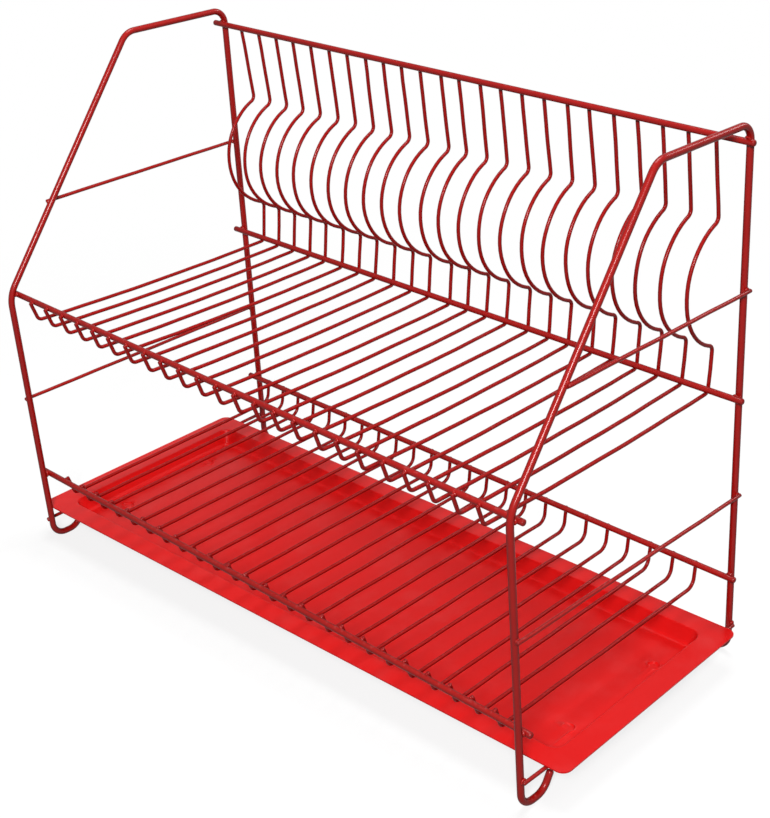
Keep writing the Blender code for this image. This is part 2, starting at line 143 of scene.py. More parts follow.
@dataclass(frozen=True)
class PathMaker:
    """Turns corners into a smooth path, with fine steps round each bend."""

    bend_step: float = math.radians(7.5)
    longest_run: float = 0.008

    def bend(self, before: Corner, corner: Corner, after: Corner) -> list[Vector]:
        """Points of one round bend.

        Args:
            before: The corner before it on the path.
            corner: The corner that the bend replaces.
            after: The corner after it.

        Returns:
            The (y, z) points from the bend's start to its end.
        """
        into = (corner.place - before.place).normalized()
        out = (after.place - corner.place).normalized()
        turn = into.angle(out)
        start = corner.place - into * corner.radius * math.tan(turn / 2)
        side = Vector((-into.y, into.x))
        if side.dot(out) < 0:
            side.negate()
        centre = start + side * corner.radius
        steps = max(2, math.ceil(turn / self.bend_step))
        points = []
        for step in range(steps + 1):
            angle = turn * step / steps
            reach = side * -math.cos(angle) + into * math.sin(angle)
            points.append(centre + reach * corner.radius)
        return points

    def path(self, corners: Sequence[Corner]) -> list[Vector]:
        """The whole (y, z) path, with long straight runs divided.

        Args:
            corners: The path's ends and the corners between them.

        Returns:
            The path's points.
        """
        rough = [corners[0].place]
        for before, corner, after in zip(corners, corners[1:], corners[2:]):
            rough += self.bend(before, corner, after) if corner.radius > 0 else [corner.place]
        rough.append(corners[-1].place)
        points = [rough[0]]
        for start, end in zip(rough, rough[1:]):
            parts = max(1, math.ceil((end - start).length / self.longest_run))
            points += [start.lerp(end, part / parts) for part in range(1, parts + 1)]
        return points


def line_y(height: float, low: Point2, high: Point2) -> float:
    """y of the straight line through two (y, z) points at a height."""
    return low[0] + (height - low[1]) / (high[1] - low[1]) * (high[0] - low[0])


@dataclass(frozen=True)
class RackPlan:
    """The rack's sizes and the places that follow from them.

    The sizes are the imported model's, but for the rear ends of the tray bars, which stop just
    short of the legs' centre lines here.
    """

    frame_radius: float = 0.0025
    rail_radius: float = 0.00225
    thin_radius: float = 0.0014
    touch_gap: float = 0.0003
    weld_depth: float = 0.0004
    frame_x: float = 0.250
    foot_height: float = 0.002415
    top_height: float = 0.4030
    front_foot_y: float = -0.1050
    rear_foot_y: float = 0.1296
    front_bend_y: float = -0.1200
    front_bend_height: float = 0.2218
    front_bend_radius: float = 0.025
    top_front_y: float = 0.0110
    top_rear_y: float = 0.1112
    top_front_radius: float = 0.015
    top_rear_radius: float = 0.012
    foot_bend_radius: float = 0.012
    foot_flat_run: float = 0.003
    rear_plumb_run: float = 0.003
    rear_foot_run: float = 0.012
    rear_foot_shares: Point2 = (0.5, 1.0)
    foot_steps: int = 12
    foot_rise: float = math.radians(60)
    foot_tail: float = 0.008
    top_rail_drop: float = 0.0110
    shelf_rear_height: float = 0.2098
    lower_rear_height: float = 0.0670
    lower_front_height: float = 0.0610
    rail_overhang: float = 0.0070
    crook_turns: Point2 = (math.radians(-4), math.radians(8))
    guard_height: float = 0.2890
    middle_height: float = 0.1335
    tray_bar_height: float = 0.0255
    guard_drops: Point2 = (0.0030, 0.0)
    middle_drops: Point2 = (0.0030, 0.0)
    tray_bar_drops: Point2 = (0.0085, 0.0)
    bar_overhang: float = 0.0020
    tray_bar_rear_overhang: float = -0.0002
    wire_count: int = 24
    wire_end_gap: float = 0.0240
    lower_row_shift: float = -0.0050
    upper_top_shares: tuple[float, ...] = (
        -0.15, -0.10, -0.06, -0.06, -0.02, 0.02, 0.02, 0.04, -0.01, -0.06, -0.09, -0.04,
        -0.16, -0.12, -0.16, -0.17, -0.16, -0.12, -0.18, -0.13, -0.15, -0.12, -0.11, -0.03,
    )
    upper_rear_shares: tuple[float, ...] = (
        0.11, 0.06, 0.03, 0.01, -0.06, -0.04, -0.05, -0.11, -0.08, -0.08, -0.13, -0.01,
        -0.08, -0.11, -0.10, -0.04, -0.03, -0.11, -0.02, -0.10, -0.01, -0.09, -0.07, 0.01,
    )
    upper_front_shares: tuple[float, ...] = (
        -0.08, -0.12, -0.14, -0.15, -0.17, -0.20, -0.17, -0.13, -0.15, -0.15, -0.14, -0.17,
        -0.19, -0.17, -0.20, -0.22, -0.17, -0.18, -0.21, -0.10, -0.16, -0.15, -0.12, -0.11,
    )
    lower_rear_shares: tuple[float, ...] = (
        -0.22, -0.25, -0.26, -0.26, -0.23, -0.23, -0.20, -0.18, -0.14, -0.11, -0.10, -0.08,
        0.02, -0.06, -0.01, -0.02, 0.00, -0.01, 0.01, 0.02, 0.00, 0.01, 0.03, 0.02,
    )
    lower_front_shares: tuple[float, ...] = (
        0.11, 0.12, 0.06, 0.04, 0.03, 0.02, 0.04, 0.04, 0.07, 0.05, 0.12, 0.09,
        0.19, 0.15, 0.11, 0.14, 0.12, 0.17, 0.13, 0.17, 0.21, 0.18, 0.16, 0.15,
    )
    upper_knee_drop: float = 0.0620
    lower_knee_rise: float = 0.0300
    upper_knee_setback: float = 0.0060
    lower_knee_setback: float = 0.0040
    bulge_depth: float = 0.0335
    bulge_steps: int = 22
    knee_radius: float = 0.005
    shelf_sag: float = 0.0020
    sag_steps: int = 8
    lip_height: float = 0.0156
    lip_lean: float = 0.0060
    lip_radius: float = 0.005
    lip_end_rise: float = 0.0004
    lower_run_height: float = 0.0465
    lower_front_radius: float = 0.004
    lower_front_lean: float = math.radians(20)
    lower_rear_radius: float = 0.008
    lower_rear_lean: float = 0.0026
    front_tip_rise: float = 0.0010
    middle_y: float = 0.0047349

    @property
    def rail_to_leg(self) -> float:
        """Distance between the centre lines of a rail and the leg that carries it."""
        return self.frame_radius + self.rail_radius + self.touch_gap

    @property
    def wire_to_rail(self) -> float:
        """Distance between the centre lines of a thin wire and its rail."""
        return self.rail_radius + self.thin_radius + self.touch_gap

    @property
    def bar_to_frame(self) -> float:
        """Distance between the centre lines of a side bar and its side frame."""
        return self.frame_radius + self.thin_radius + self.touch_gap

    @property
    def welded_bar_to_frame(self) -> float:
        """The same distance where the bar is sunk in the frame's wire."""
        return self.frame_radius + self.thin_radius - self.weld_depth

    @property
    def top_rail_height(self) -> float:
        """Height of the top rail's centre line."""
        return self.top_height - self.top_rail_drop

    @property
    def wire_pitch(self) -> float:
        """Distance between neighbouring wires of a row."""
        return 2 * (self.frame_x - self.wire_end_gap) / (self.wire_count - 1)

    def rear_leg_y(self, height: float) -> float:
        """Centre line of the rear leg, which leans forward as it rises."""
        low = (self.rear_foot_y, self.foot_height)
        return line_y(height, low, (self.top_rear_y, self.top_height))

    def front_leg_y(self, height: float) -> float:
        """Centre line of the front leg below its bend and of the slanted wire above it.

        Args:
            height: Height above the floor.

        Returns:
            y at that height.
        """
        knee = (self.front_bend_y, self.front_bend_height)
        if height <= self.front_bend_height:
            return line_y(height, (self.front_foot_y, self.foot_height), knee)
        return line_y(height, knee, (self.top_front_y, self.top_height))

    def front_bend_centre(self) -> Vector:
        """Centre of the round bend between the front leg and the slanted wire, as (y, z)."""
        knee = Vector((self.front_bend_y, self.front_bend_height))
        down = (Vector((self.front_foot_y, self.foot_height)) - knee).normalized()
        up = (Vector((self.top_front_y, self.top_height)) - knee).normalized()
        return knee + (down + up).normalized() * self.front_bend_radius / math.sin(down.angle(up) / 2)

    def shelf_front_rail(self, side: Side) -> Vector:
        """The upper front rail's end in the crook of a front bend.

        Args:
            side: The side frame whose bend carries it.

        Returns:
            The end's (y, z).
        """
        centre = self.front_bend_centre()
        outward = (Vector((self.front_bend_y, self.front_bend_height)) - centre).normalized()
        turn = side.pick(self.crook_turns)
        cos, sin = math.cos(turn), math.sin(turn)
        turned = Vector((outward.x * cos - outward.y * sin, outward.x * sin + outward.y * cos))
        return centre + turned * (self.front_bend_radius - self.rail_to_leg)

    def rear_rail(self, height: float) -> Vector:
        """A rear rail's (y, z) before the rear legs."""
        return Vector((self.rear_leg_y(height) - self.rail_to_leg, height))

    def rails(self) -> dict[str, tuple[Vector, Vector]]:
        """Centre line of each rail by its node's name, as (y, z) at the left and right frames."""
        front = self.lower_front_height
        return {
            "top_rear_rail": (self.rear_rail(self.top_rail_height),) * 2,
            "upper_shelf_rear_rail": (self.rear_rail(self.shelf_rear_height),) * 2,
            "upper_shelf_front_rail": tuple(self.shelf_front_rail(side) for side in Side),
            "lower_shelf_rear_rail": (self.rear_rail(self.lower_rear_height),) * 2,
            "lower_shelf_front_rail": (Vector((self.front_leg_y(front) + self.rail_to_leg, front)),) * 2,
        }

    def rail_place(self, name: str, x: float) -> Vector:
        """(y, z) of a rail's centre line at x."""
        left, right = self.rails()[name]
        return left.lerp(right, (x + self.frame_x) / (2 * self.frame_x))

    def wire_x(self, row: Row, shares: Sequence[float], index: int) -> float:
        """x of a wire at one rail, evenly pitched but for its share of drift."""
        shift = self.lower_row_shift if row is Row.LOWER else 0.0
        return self.wire_end_gap - self.frame_x + shift + self.wire_pitch * (index + shares[index])

    def front_foot_corners(self) -> list[Corner]:
        """Corners of a front hook foot from its free end to the leg."""
        rise_tangent = self.foot_bend_radius * math.tan(self.foot_rise / 2)
        turn_y = self.front_foot_y + self.foot_bend_radius + self.foot_flat_run + rise_tangent
        tail = rise_tangent + self.foot_tail
        end_y = turn_y + tail * math.cos(self.foot_rise)
        return [
            Corner(end_y, self.foot_height + tail * math.sin(self.foot_rise)),
            Corner(turn_y, self.foot_height, self.foot_bend_radius),
            Corner(self.front_foot_y, self.foot_height, self.foot_bend_radius),
        ]

    def side_frame_line(self, side: Side) -> list[Vector]:
        """Centre line of a side frame from the front hook over the top to the inward rear foot.

        Args:
            side: Which side frame.

        Returns:
            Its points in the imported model's frame.
        """
        foot_top = self.foot_height + self.foot_bend_radius
        foot_y = self.rear_leg_y(foot_top + self.rear_plumb_run)
        corners = [
            *self.front_foot_corners(),
            Corner(self.front_bend_y, self.front_bend_height, self.front_bend_radius),
            Corner(self.top_front_y, self.top_height, self.top_front_radius),
            Corner(self.top_rear_y, self.top_height, self.top_rear_radius),
            Corner(foot_y, foot_top + self.rear_plumb_run),
            Corner(foot_y, foot_top),
        ]
        line = [self.place(side.value * self.frame_x, point) for point in PathMaker().path(corners)]
        turn_x = self.frame_x - self.foot_bend_radius
        for step in range(1, self.foot_steps + 1):
            angle = math.pi / 2 * step / self.foot_steps
            x = turn_x + self.foot_bend_radius * math.cos(angle)
            height = foot_top - self.foot_bend_radius * math.sin(angle)
            line.append(self.place(side.value * x, Vector((foot_y, height))))
        for share in self.rear_foot_shares:
            x = turn_x - self.rear_foot_run * share
            line.append(self.place(side.value * x, Vector((foot_y, self.foot_height))))
        return line

    def bulge(self, first: Corner, last: Corner) -> list[Corner]:
        """Corners along the round plate bulge between its two knees.

        Args:
            first: The upper knee.
            last: The lower knee.

        Returns:
            The points of the arc between them.
        """
        half_chord = (last.place - first.place).length / 2
        along = (last.place - first.place).normalized()
        forward = Vector((along.y, -along.x))
        radius = (half_chord**2 + self.bulge_depth**2) / (2 * self.bulge_depth)
        centre = (first.place + last.place) / 2 + forward * (self.bulge_depth - radius)
        half_angle = math.atan2(half_chord, radius - self.bulge_depth)
        corners = []
        for step in range(1, self.bulge_steps):
            angle = half_angle * (2 * step / self.bulge_steps - 1)
            place = centre + (forward * math.cos(angle) + along * math.sin(angle)) * radius
            corners.append(Corner(place.x, place.y))
        return corners

    def upper_wire_corners(self, front_x: float) -> list[Corner]:
        """Corners of an upper wire: plate slot, bulge, sagging shelf run and front lip.

        Args:
            front_x: Where the wire meets the front rail, whose ends differ in height.

        Returns:
            The corners from the top rail to the lip.
        """
        top_y = self.rail_place("top_rear_rail", front_x).x + self.wire_to_rail
        foot_y = self.rail_place("upper_shelf_rear_rail", front_x).x + self.wire_to_rail
        top, foot = (top_y, self.top_rail_height), (foot_y, self.shelf_rear_height)
        upper = self.top_rail_height - self.upper_knee_drop
        lower = self.shelf_rear_height + self.lower_knee_rise
        knees = (
            Corner(line_y(upper, foot, top) + self.upper_knee_setback, upper, self.knee_radius),
            Corner(line_y(lower, foot, top) + self.lower_knee_setback, lower, self.knee_radius),
        )
        front = self.rail_place("upper_shelf_front_rail", front_x)
        lip_y = front.x - self.wire_to_rail
        start = Vector((foot_y, self.shelf_rear_height - self.wire_to_rail))
        end = Vector((lip_y + self.lip_lean, front.y - self.lip_height))
        run = []
        for step in range(1, self.sag_steps):
            share = step / self.sag_steps
            place = start.lerp(end, share)
            run.append(Corner(place.x, place.y - 4 * self.shelf_sag * share * (1 - share)))
        return [
            Corner(*top),
            knees[0],
            *self.bulge(*knees),
            knees[1],
            Corner(*foot),
            Corner(start.x, start.y, self.wire_to_rail),
            *run,
            Corner(end.x, end.y, self.lip_radius),
            Corner(lip_y, front.y + self.lip_end_rise),
        ]

    def lower_wire_corners(self) -> list[Corner]:
        """Corners of a lower wire, turned up behind both of its rails, its front end leaning."""
        cos, sin = math.cos(self.lower_front_lean), math.sin(self.lower_front_lean)
        along, across = Vector((-sin, cos)), Vector((cos, sin))
        touch = self.rail_place("lower_shelf_front_rail", 0.0) + across * self.wire_to_rail
        bottom = touch + along * (self.lower_run_height - touch.y) / along.y
        tip = touch + along * self.front_tip_rise
        rear_y = self.rail_place("lower_shelf_rear_rail", 0.0).x + self.wire_to_rail
        return [
            Corner(tip.x, tip.y),
            Corner(bottom.x, bottom.y, self.lower_front_radius),
            Corner(rear_y - self.lower_rear_lean, self.lower_run_height, self.lower_rear_radius),
            Corner(rear_y, self.lower_rear_height),
        ]

    def wire_ends(self, row: Row, index: int) -> dict[str, float]:
        """Where one wire meets each rail of its row.

        Args:
            row: The wire's row.
            index: Its number from the left, from 0.

        Returns:
            Its x at each rail, by the rail's node, from front to rear and up.
        """
        if row is Row.UPPER:
            shares = {
                "upper_shelf_front_rail": self.upper_front_shares,
                "upper_shelf_rear_rail": self.upper_rear_shares,
                "top_rear_rail": self.upper_top_shares,
            }
        else:
            shares = {
                "lower_shelf_front_rail": self.lower_front_shares,
                "lower_shelf_rear_rail": self.lower_rear_shares,
            }
        return {name: self.wire_x(row, values, index) for name, values in shares.items()}

    def wire_line(self, row: Row, index: int) -> list[Vector]:
        """Centre line of one shelf wire, a little skewed as it was laid.

        Args:
            row: The wire's row.
            index: Its number from the left, from 0.

        Returns:
            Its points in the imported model's frame.
        """
        ends = self.wire_ends(row, index)
        front_name, rear_name = list(ends)[:2]
        front_x, rear_x = ends[front_name], ends[rear_name]
        front_y, rear = self.rail_place(front_name, front_x).x, self.rail_place(rear_name, rear_x)
        corners = self.upper_wire_corners(front_x) if row is Row.UPPER else self.lower_wire_corners()
        line = []
        for point in PathMaker().path(corners):
            share = min(max((point.x - front_y) / (rear.x - front_y), 0.0), 1.0)
            x = front_x + share * (rear_x - front_x)
            rises_behind = point.y > rear.y and point.x > 0
            if row is Row.UPPER and rises_behind:
                share = (point.y - rear.y) / (self.top_rail_height - rear.y)
                x = rear_x + share * (ends["top_rear_rail"] - rear_x)
            line.append(self.place(x, point))
        return line

    def place(self, x: float, point: Vector) -> Vector:
        """A (y, z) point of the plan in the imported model's frame."""
        return Vector((x, point.x - self.middle_y, point.y))


# Meshes


@dataclass(frozen=True)
class Sway:
    """Small unevenness of a hand-bent wire, which dies out at its welds."""

    amount: float = 0.00014
    wave: float = 0.085
    calm: float = 0.014
    short_wave: float = 2.3
    short_share: float = 0.5
    ahead_wave: float = 1.7
    ahead_share: float = 0.4

    def apply(self, line: list[Vector], welds: Sequence[Vector], seed: int) -> list[Vector]:
        """Moves a line's points a little to the side.

        Args:
            line: The wire's centre line.
            welds: Where it is welded, which stays in place.
            seed: Chooses this wire's own unevenness.

        Returns:
            The line's new points.
        """
        dice = random.Random(seed)
        phases = [dice.uniform(0, 2 * math.pi) for _ in range(3)]
        moved, run = [], 0.0
        for before, point in zip([line[0], *line], line):
            run += (point - before).length
            near = min((point - weld).length for weld in welds)
            grip = min(1.0, near / self.calm) ** 2
            angle = 2 * math.pi * run / self.wave
            aside = math.sin(angle + phases[0])
            aside += self.short_share * math.sin(self.short_wave * angle + phases[1])
            ahead = self.ahead_share * math.sin(self.ahead_wave * angle + phases[2])
            moved.append(point + Vector((aside, ahead, 0.0)) * self.amount * grip)
        return moved


@dataclass(frozen=True)
class RoundWire:
    """A round wire of one thickness, meshed round any centre line, with domed ends."""

    radius: float
    sides: int
    dome_share: float = 0.55
    dome_rings: int = 4
    thin_coat_reach: float = 0.0035
    nearly_parallel: float = 0.9

    def frames(self, line: Sequence[Vector]) -> list[tuple[Vector, Vector, Vector]]:
        """Directions of the wire at each point of its line.

        Args:
            line: The wire's centre line.

        Returns:
            For each point, the direction of the wire and two directions across it.
        """
        frames = []
        across = Vector((1, 0, 0))
        for index in range(len(line)):
            ahead = line[min(index + 1, len(line) - 1)] - line[max(index - 1, 0)]
            ahead.normalize()
            if abs(ahead.dot(across)) > self.nearly_parallel:
                across = Vector((0, 1, 0))
            across = (across - ahead * across.dot(ahead)).normalized()
            frames.append((ahead, across, ahead.cross(across)))
        return frames

    def profile(self, line: Sequence[Vector]) -> tuple[list[Vector], list[float], list[float]]:
        """The line and the radius of a wire whose ends are domed.

        Args:
            line: The wire's centre line.

        Returns:
            The rings' centres, the radius of each, and how far each is from the nearer end.
        """
        dome = self.radius * self.dome_share
        steps = [math.pi / 2 * step / self.dome_rings for step in range(1, self.dome_rings + 1)]
        start = (line[1] - line[0]).normalized()
        end = (line[-2] - line[-1]).normalized()
        caps = [(math.sin(step), math.cos(step)) for step in steps[:-1]]
        centres = [line[0] + start * dome * (1 - out) for out, _ in reversed(caps)]
        radii = [self.radius * share for _, share in reversed(caps)]
        centres += [line[0] + start * dome, *line[1:-1], line[-1] + end * dome]
        radii += [self.radius] * len(line)
        centres += [line[-1] + end * dome * (1 - out) for out, _ in caps]
        radii += [self.radius * share for _, share in caps]
        runs = [0.0]
        for before, point in zip(centres, centres[1:]):
            runs.append(runs[-1] + (point - before).length)
        return centres, radii, [min(run, runs[-1] - run) for run in runs]

    def mesh(self, name: str, line: Sequence[Vector]) -> Mesh:
        """The wire's closed mesh.

        Args:
            name: The mesh's name.
            line: The wire's centre line, end to end.

        Returns:
            A smooth mesh with the attribute coat_thin, which is 1 at the wire's ends.
        """
        centres, radii, reaches = self.profile(line)
        points, thin = [], []
        turns = [2 * math.pi * side / self.sides for side in range(self.sides)]
        for centre, radius, reach, (_, u, v) in zip(centres, radii, reaches, self.frames(centres)):
            points += [centre + (u * math.cos(turn) + v * math.sin(turn)) * radius for turn in turns]
            thin += [math.exp(-reach / self.thin_coat_reach)] * self.sides
        faces = []
        for ring in range(len(centres) - 1):
            low, high = ring * self.sides, (ring + 1) * self.sides
            for side in range(self.sides):
                after = (side + 1) % self.sides
                faces.append((low + side, low + after, high + after, high + side))
        first, last = len(points), len(points) + 1
        points += [Vector(line[0]), Vector(line[-1])]
        thin += [1.0, 1.0]
        top = (len(centres) - 1) * self.sides
        for side in range(self.sides):
            after = (side + 1) % self.sides
            faces.append((first, after, side))
            faces.append((last, top + side, top + after))
        return smooth_mesh(name, points, faces, {"coat_thin": thin})


def smooth_mesh(
    name: str,
    points: Sequence[Vector],
    faces: Sequence[Sequence[int]],
    marks: dict[str, Sequence[float]] | None = None,
) -> Mesh:
    """A smooth-shaded mesh with outward faces.

    Args:
        name: The mesh's name.
        points: Its vertices.
        faces: Its faces, as vertex numbers.
        marks: Values for each vertex, by the attribute's name.

    Returns:
        The mesh.
    """
    mesh = bpy.data.meshes.new(name)
    mesh.from_pydata([tuple(point) for point in points], [], [tuple(face) for face in faces])
    shape = bmesh.new()
    shape.from_mesh(mesh)
    bmesh.ops.recalc_face_normals(shape, faces=shape.faces)
    shape.to_mesh(mesh)
    shape.free()
    for key, values in (marks or {}).items():
        attribute = mesh.attributes.new(key, "FLOAT", "POINT")
        attribute.data.foreach_set("value", list(values))
    mesh.polygons.foreach_set("use_smooth", [True] * len(mesh.polygons))
    mesh.update()
    return mesh


def put_piece(mesh: Mesh, material: Material, body: str, node: str = "") -> bpy.types.Object:
    """An object for a mesh, dressed and riding on its body.

    Args:
        mesh: The piece's mesh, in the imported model's frame.
        material: Its finish.
        body: The body that it moves with.
        node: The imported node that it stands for, if it does.

    Returns:
        The new object.
    """
    piece = bpy.data.objects.new(mesh.name, mesh)
    bpy.context.scene.collection.objects.link(piece)
    mesh.materials.append(material)
    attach(piece, body)
    if node:
        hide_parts(node)
    LOG.info("placed %s on %s", mesh.name, body)
    return piece


@dataclass(frozen=True)
class Bead:
    """One weld bead under the coating, where two wires cross."""

    centre: Vector
    normal: Vector
    along: Vector
    width: float
    height: float

    @classmethod
    def on_rail(cls, plan: RackPlan, rail: str, x: float, away: Vector, size: Point2) -> Bead:
        """A bead between a rail and what crosses it.

        Args:
            plan: The rack's sizes.
            rail: The rail's node.
            x: Where along the rail it sits.
            away: Direction from the rail to what crosses it, as (y, z).
            size: Its half width and half height.

        Returns:
            The bead.
        """
        touch = plan.rail_place(rail, x) + away * (plan.rail_radius + plan.touch_gap / 2)
        return cls(plan.place(x, touch), Vector((0, away.x, away.y)), Vector((1, 0, 0)), *size)


@dataclass
class WeldRun:
    """A group of weld beads as one piece: small lumps of coated weld, no two quite alike."""

    name: str
    beads: list[Bead]
    rings: int = 8
    spokes: int = 14
    unevenness: float = 0.10
    third_share: float = 0.6
    coat_thin: float = 0.35

    def lump(self, bead: Bead, dice: random.Random) -> tuple[list[Vector], list[tuple[int, ...]]]:
        """Vertices and faces of one bead.

        Args:
            bead: Its place and size.
            dice: Source of its unevenness.

        Returns:
            The lump's own vertices, and its faces as their numbers.
        """
        across = bead.normal.cross(bead.along).normalized()
        phases = [dice.uniform(0, 2 * math.pi) for _ in range(2)]
        stretch = 1 + dice.uniform(-self.unevenness, self.unevenness)
        points = [bead.centre + bead.normal * bead.height]
        for ring in range(1, self.rings):
            polar = math.pi * ring / self.rings
            for spoke in range(self.spokes):
                turn = 2 * math.pi * spoke / self.spokes
                wobble = 1 + self.unevenness * (
                    math.sin(2 * turn + phases[0]) + self.third_share * math.sin(3 * turn + phases[1])
                )
                reach = bead.width * math.sin(polar) * wobble
                flat = (bead.along * math.cos(turn) * stretch + across * math.sin(turn) / stretch) * reach
                points.append(bead.centre + flat + bead.normal * bead.height * math.cos(polar))
        points.append(bead.centre - bead.normal * bead.height)
        faces: list[tuple[int, ...]] = []
        last = len(points) - 1
        for spoke in range(self.spokes):
            after = (spoke + 1) % self.spokes
            faces.append((0, 1 + spoke, 1 + after))
            for ring in range(self.rings - 2):
                base, below = 1 + ring * self.spokes, 1 + (ring + 1) * self.spokes
                faces.append((base + spoke, below + spoke, below + after, base + after))
            base = 1 + (self.rings - 2) * self.spokes
            faces.append((last, base + after, base + spoke))
        return points, faces

    def build(self, material: Material, slot: str) -> bpy.types.Object:
        """All the beads as one piece that rides on the rack.

        Args:
            material: Their finish.
            slot: The record's slot that it comes from. Not used.

        Returns:
            The new object.
        """
        dice = random.Random(len(self.name) + len(self.beads))
        points: list[Vector] = []
        faces: list[tuple[int, ...]] = []
        for bead in self.beads:
            lump_points, lump_faces = self.lump(bead, dice)
            faces += [tuple(number + len(points) for number in face) for face in lump_faces]
            points += lump_points
        mesh = smooth_mesh(self.name, points, faces, {"coat_thin": [self.coat_thin] * len(points)})
        return put_piece(mesh, material, RACK_BODY)


# Finishes


class Wiring:
    """A node tree being wired, with short calls that add nodes and feed their sockets."""

    spacing: Point2 = (220.0, -60.0)
    rows: int = 4

    def __init__(self, tree: bpy.types.NodeTree) -> None:
        """Starts on a node tree."""
        self.tree = tree
        self.count = 0

    def add(self, kind: str, feeds: dict[str | int, object] | None = None, **settings: object) -> Node:
        """A new node with its settings and inputs.

        Args:
            kind: The node's type name.
            feeds: A value or a source socket for each input, by the input's name.
            **settings: Properties of the node itself.

        Returns:
            The node.
        """
        node = self.tree.nodes.new(kind)
        across, down = self.spacing
        node.location = (across * self.count, down * (self.count % self.rows))
        self.count += 1
        for key, value in settings.items():
            setattr(node, key, value)
        for key, value in (feeds or {}).items():
            self.feed(node.inputs[key], value)
        return node

    def feed(self, socket: Socket, value: object) -> None:
        """Links a source socket to another, or sets its value.

        Args:
            socket: The socket that is fed.
            value: A source socket, a number or a colour.
        """
        if isinstance(value, Socket):
            self.tree.links.new(value, socket)
        elif isinstance(value, tuple) and socket.type == "RGBA":
            socket.default_value = (*value, 1.0)
        else:
            socket.default_value = value

    def math(self, operation: str, *values: object) -> Socket:
        """The result of a Math node."""
        feeds = dict(enumerate(values))
        return self.add("ShaderNodeMath", feeds, operation=operation).outputs[0]

    def mix(self, share: object, first: object, second: object) -> Socket:
        """A colour between two, by a share from 0 to 1."""
        return self.add("ShaderNodeMix", {0: share, 6: first, 7: second}, data_type="RGBA").outputs[2]

    def noise(self, vector: object, scale: object, detail: float) -> Socket:
        """The value of a Noise Texture."""
        feeds = {"Vector": vector, "Scale": scale, "Detail": detail}
        return self.add("ShaderNodeTexNoise", feeds).outputs["Fac"]

    def ramp(self, value: object, low: float, high: float, to_low: float = 0.0) -> Socket:
        """A value carried smoothly from a range to the range up to 1.

        Args:
            value: The value or its source socket.
            low: The range's lower end.
            high: The range's upper end.
            to_low: What the lower end becomes.

        Returns:
            The new value.
        """
        feeds = {"Value": value, "From Min": low, "From Max": high, "To Min": to_low, "To Max": 1.0}
        return self.add("ShaderNodeMapRange", feeds, interpolation_type="SMOOTHSTEP").outputs["Result"]


class GroupWiring(Wiring):
    """The wiring inside an effect's node group."""

    def __init__(self, tree: bpy.types.NodeTree) -> None:
        """Starts on a group's tree, with the group's inputs at hand."""
        super().__init__(tree)
        self.given = self.add("NodeGroupInput").outputs


class MaterialWiring(Wiring):
    """The wiring of a new material round its Principled shader."""

    def __init__(self, name: str) -> None:
        """Makes the material."""
        self.material = bpy.data.materials.new(name)
        self.material.use_nodes = True
        super().__init__(self.material.node_tree)
        self.shader = self.tree.nodes["Principled BSDF"]
        self.place = self.add("ShaderNodeTexCoord").outputs["Object"]

    def shade(self, **values: object) -> None:
        """Feeds the shader's inputs, whose names are written with _ for a space."""
        for name, value in values.items():
            self.feed(self.shader.inputs[name.replace("_", " ")], value)


@dataclass(frozen=True)
class GroupSocket:
    """A named input or output of an effect."""

    name: str
    kind: str = "NodeSocketFloat"
    value: float | None = None


@dataclass(frozen=True)
class Effect:
    """A shader effect that several finishes share, built once as a node group."""

    name: str
    inputs: tuple[GroupSocket, ...]
    output: GroupSocket
    wire: Callable[[GroupWiring], Socket]

    def group(self) -> bpy.types.NodeTree:
        """The effect's node group, made on its first use."""
        known = bpy.data.node_groups.get(self.name)
        if known is not None:
            return known
        tree = bpy.data.node_groups.new(self.name, "ShaderNodeTree")
        for in_out, sockets in (("INPUT", self.inputs), ("OUTPUT", (self.output,))):
            for socket in sockets:
                made = tree.interface.new_socket(name=socket.name, in_out=in_out, socket_type=socket.kind)
                if socket.value is not None:
                    made.default_value = socket.value
        wiring = GroupWiring(tree)
        wiring.add("NodeGroupOutput", {self.output.name: self.wire(wiring)})
        return tree

    def place(self, wiring: MaterialWiring, feeds: dict[str, object]) -> Socket:
        """The effect's output in a material, with the material's own values."""
        feeds = {"Vector": wiring.place, **feeds}
        return wiring.add("ShaderNodeGroup", feeds, node_tree=self.group()).outputs[self.output.name]


def wire_pigment(wiring: GroupWiring, detail: float = 3.0, patches: Point2 = (0.32, 0.68)) -> Socket:
    """Colour that drifts a little between two tints.

    Args:
        wiring: The group's wiring.
        detail: Detail of the noise.
        patches: The noise's range over which the tint changes.

    Returns:
        The colour.
    """
    given = wiring.given
    share = wiring.ramp(wiring.noise(given["Vector"], given["Scale"], detail), *patches)
    share = wiring.math("MULTIPLY", share, given["Amount"])
    return wiring.mix(share, given["Colour"], given["Second Colour"])


def wire_orange_peel(
    wiring: GroupWiring, coarse_scale: float = 0.27, coarse_height: float = 1.6
) -> Socket:
    """Height of the fine ripple that a sprayed or dipped coat dries with.

    Args:
        wiring: The group's wiring.
        coarse_scale: Scale of the coarse ripple, as a share of the fine one's.
        coarse_height: Its height, in heights of the fine one.

    Returns:
        The height.
    """
    vector, scale = wiring.given["Vector"], wiring.given["Scale"]
    fine = wiring.noise(vector, scale, detail=1.0)
    coarse = wiring.noise(vector, wiring.math("MULTIPLY", scale, coarse_scale), detail=2.0)
    return wiring.math("MULTIPLY_ADD", coarse, coarse_height, fine)


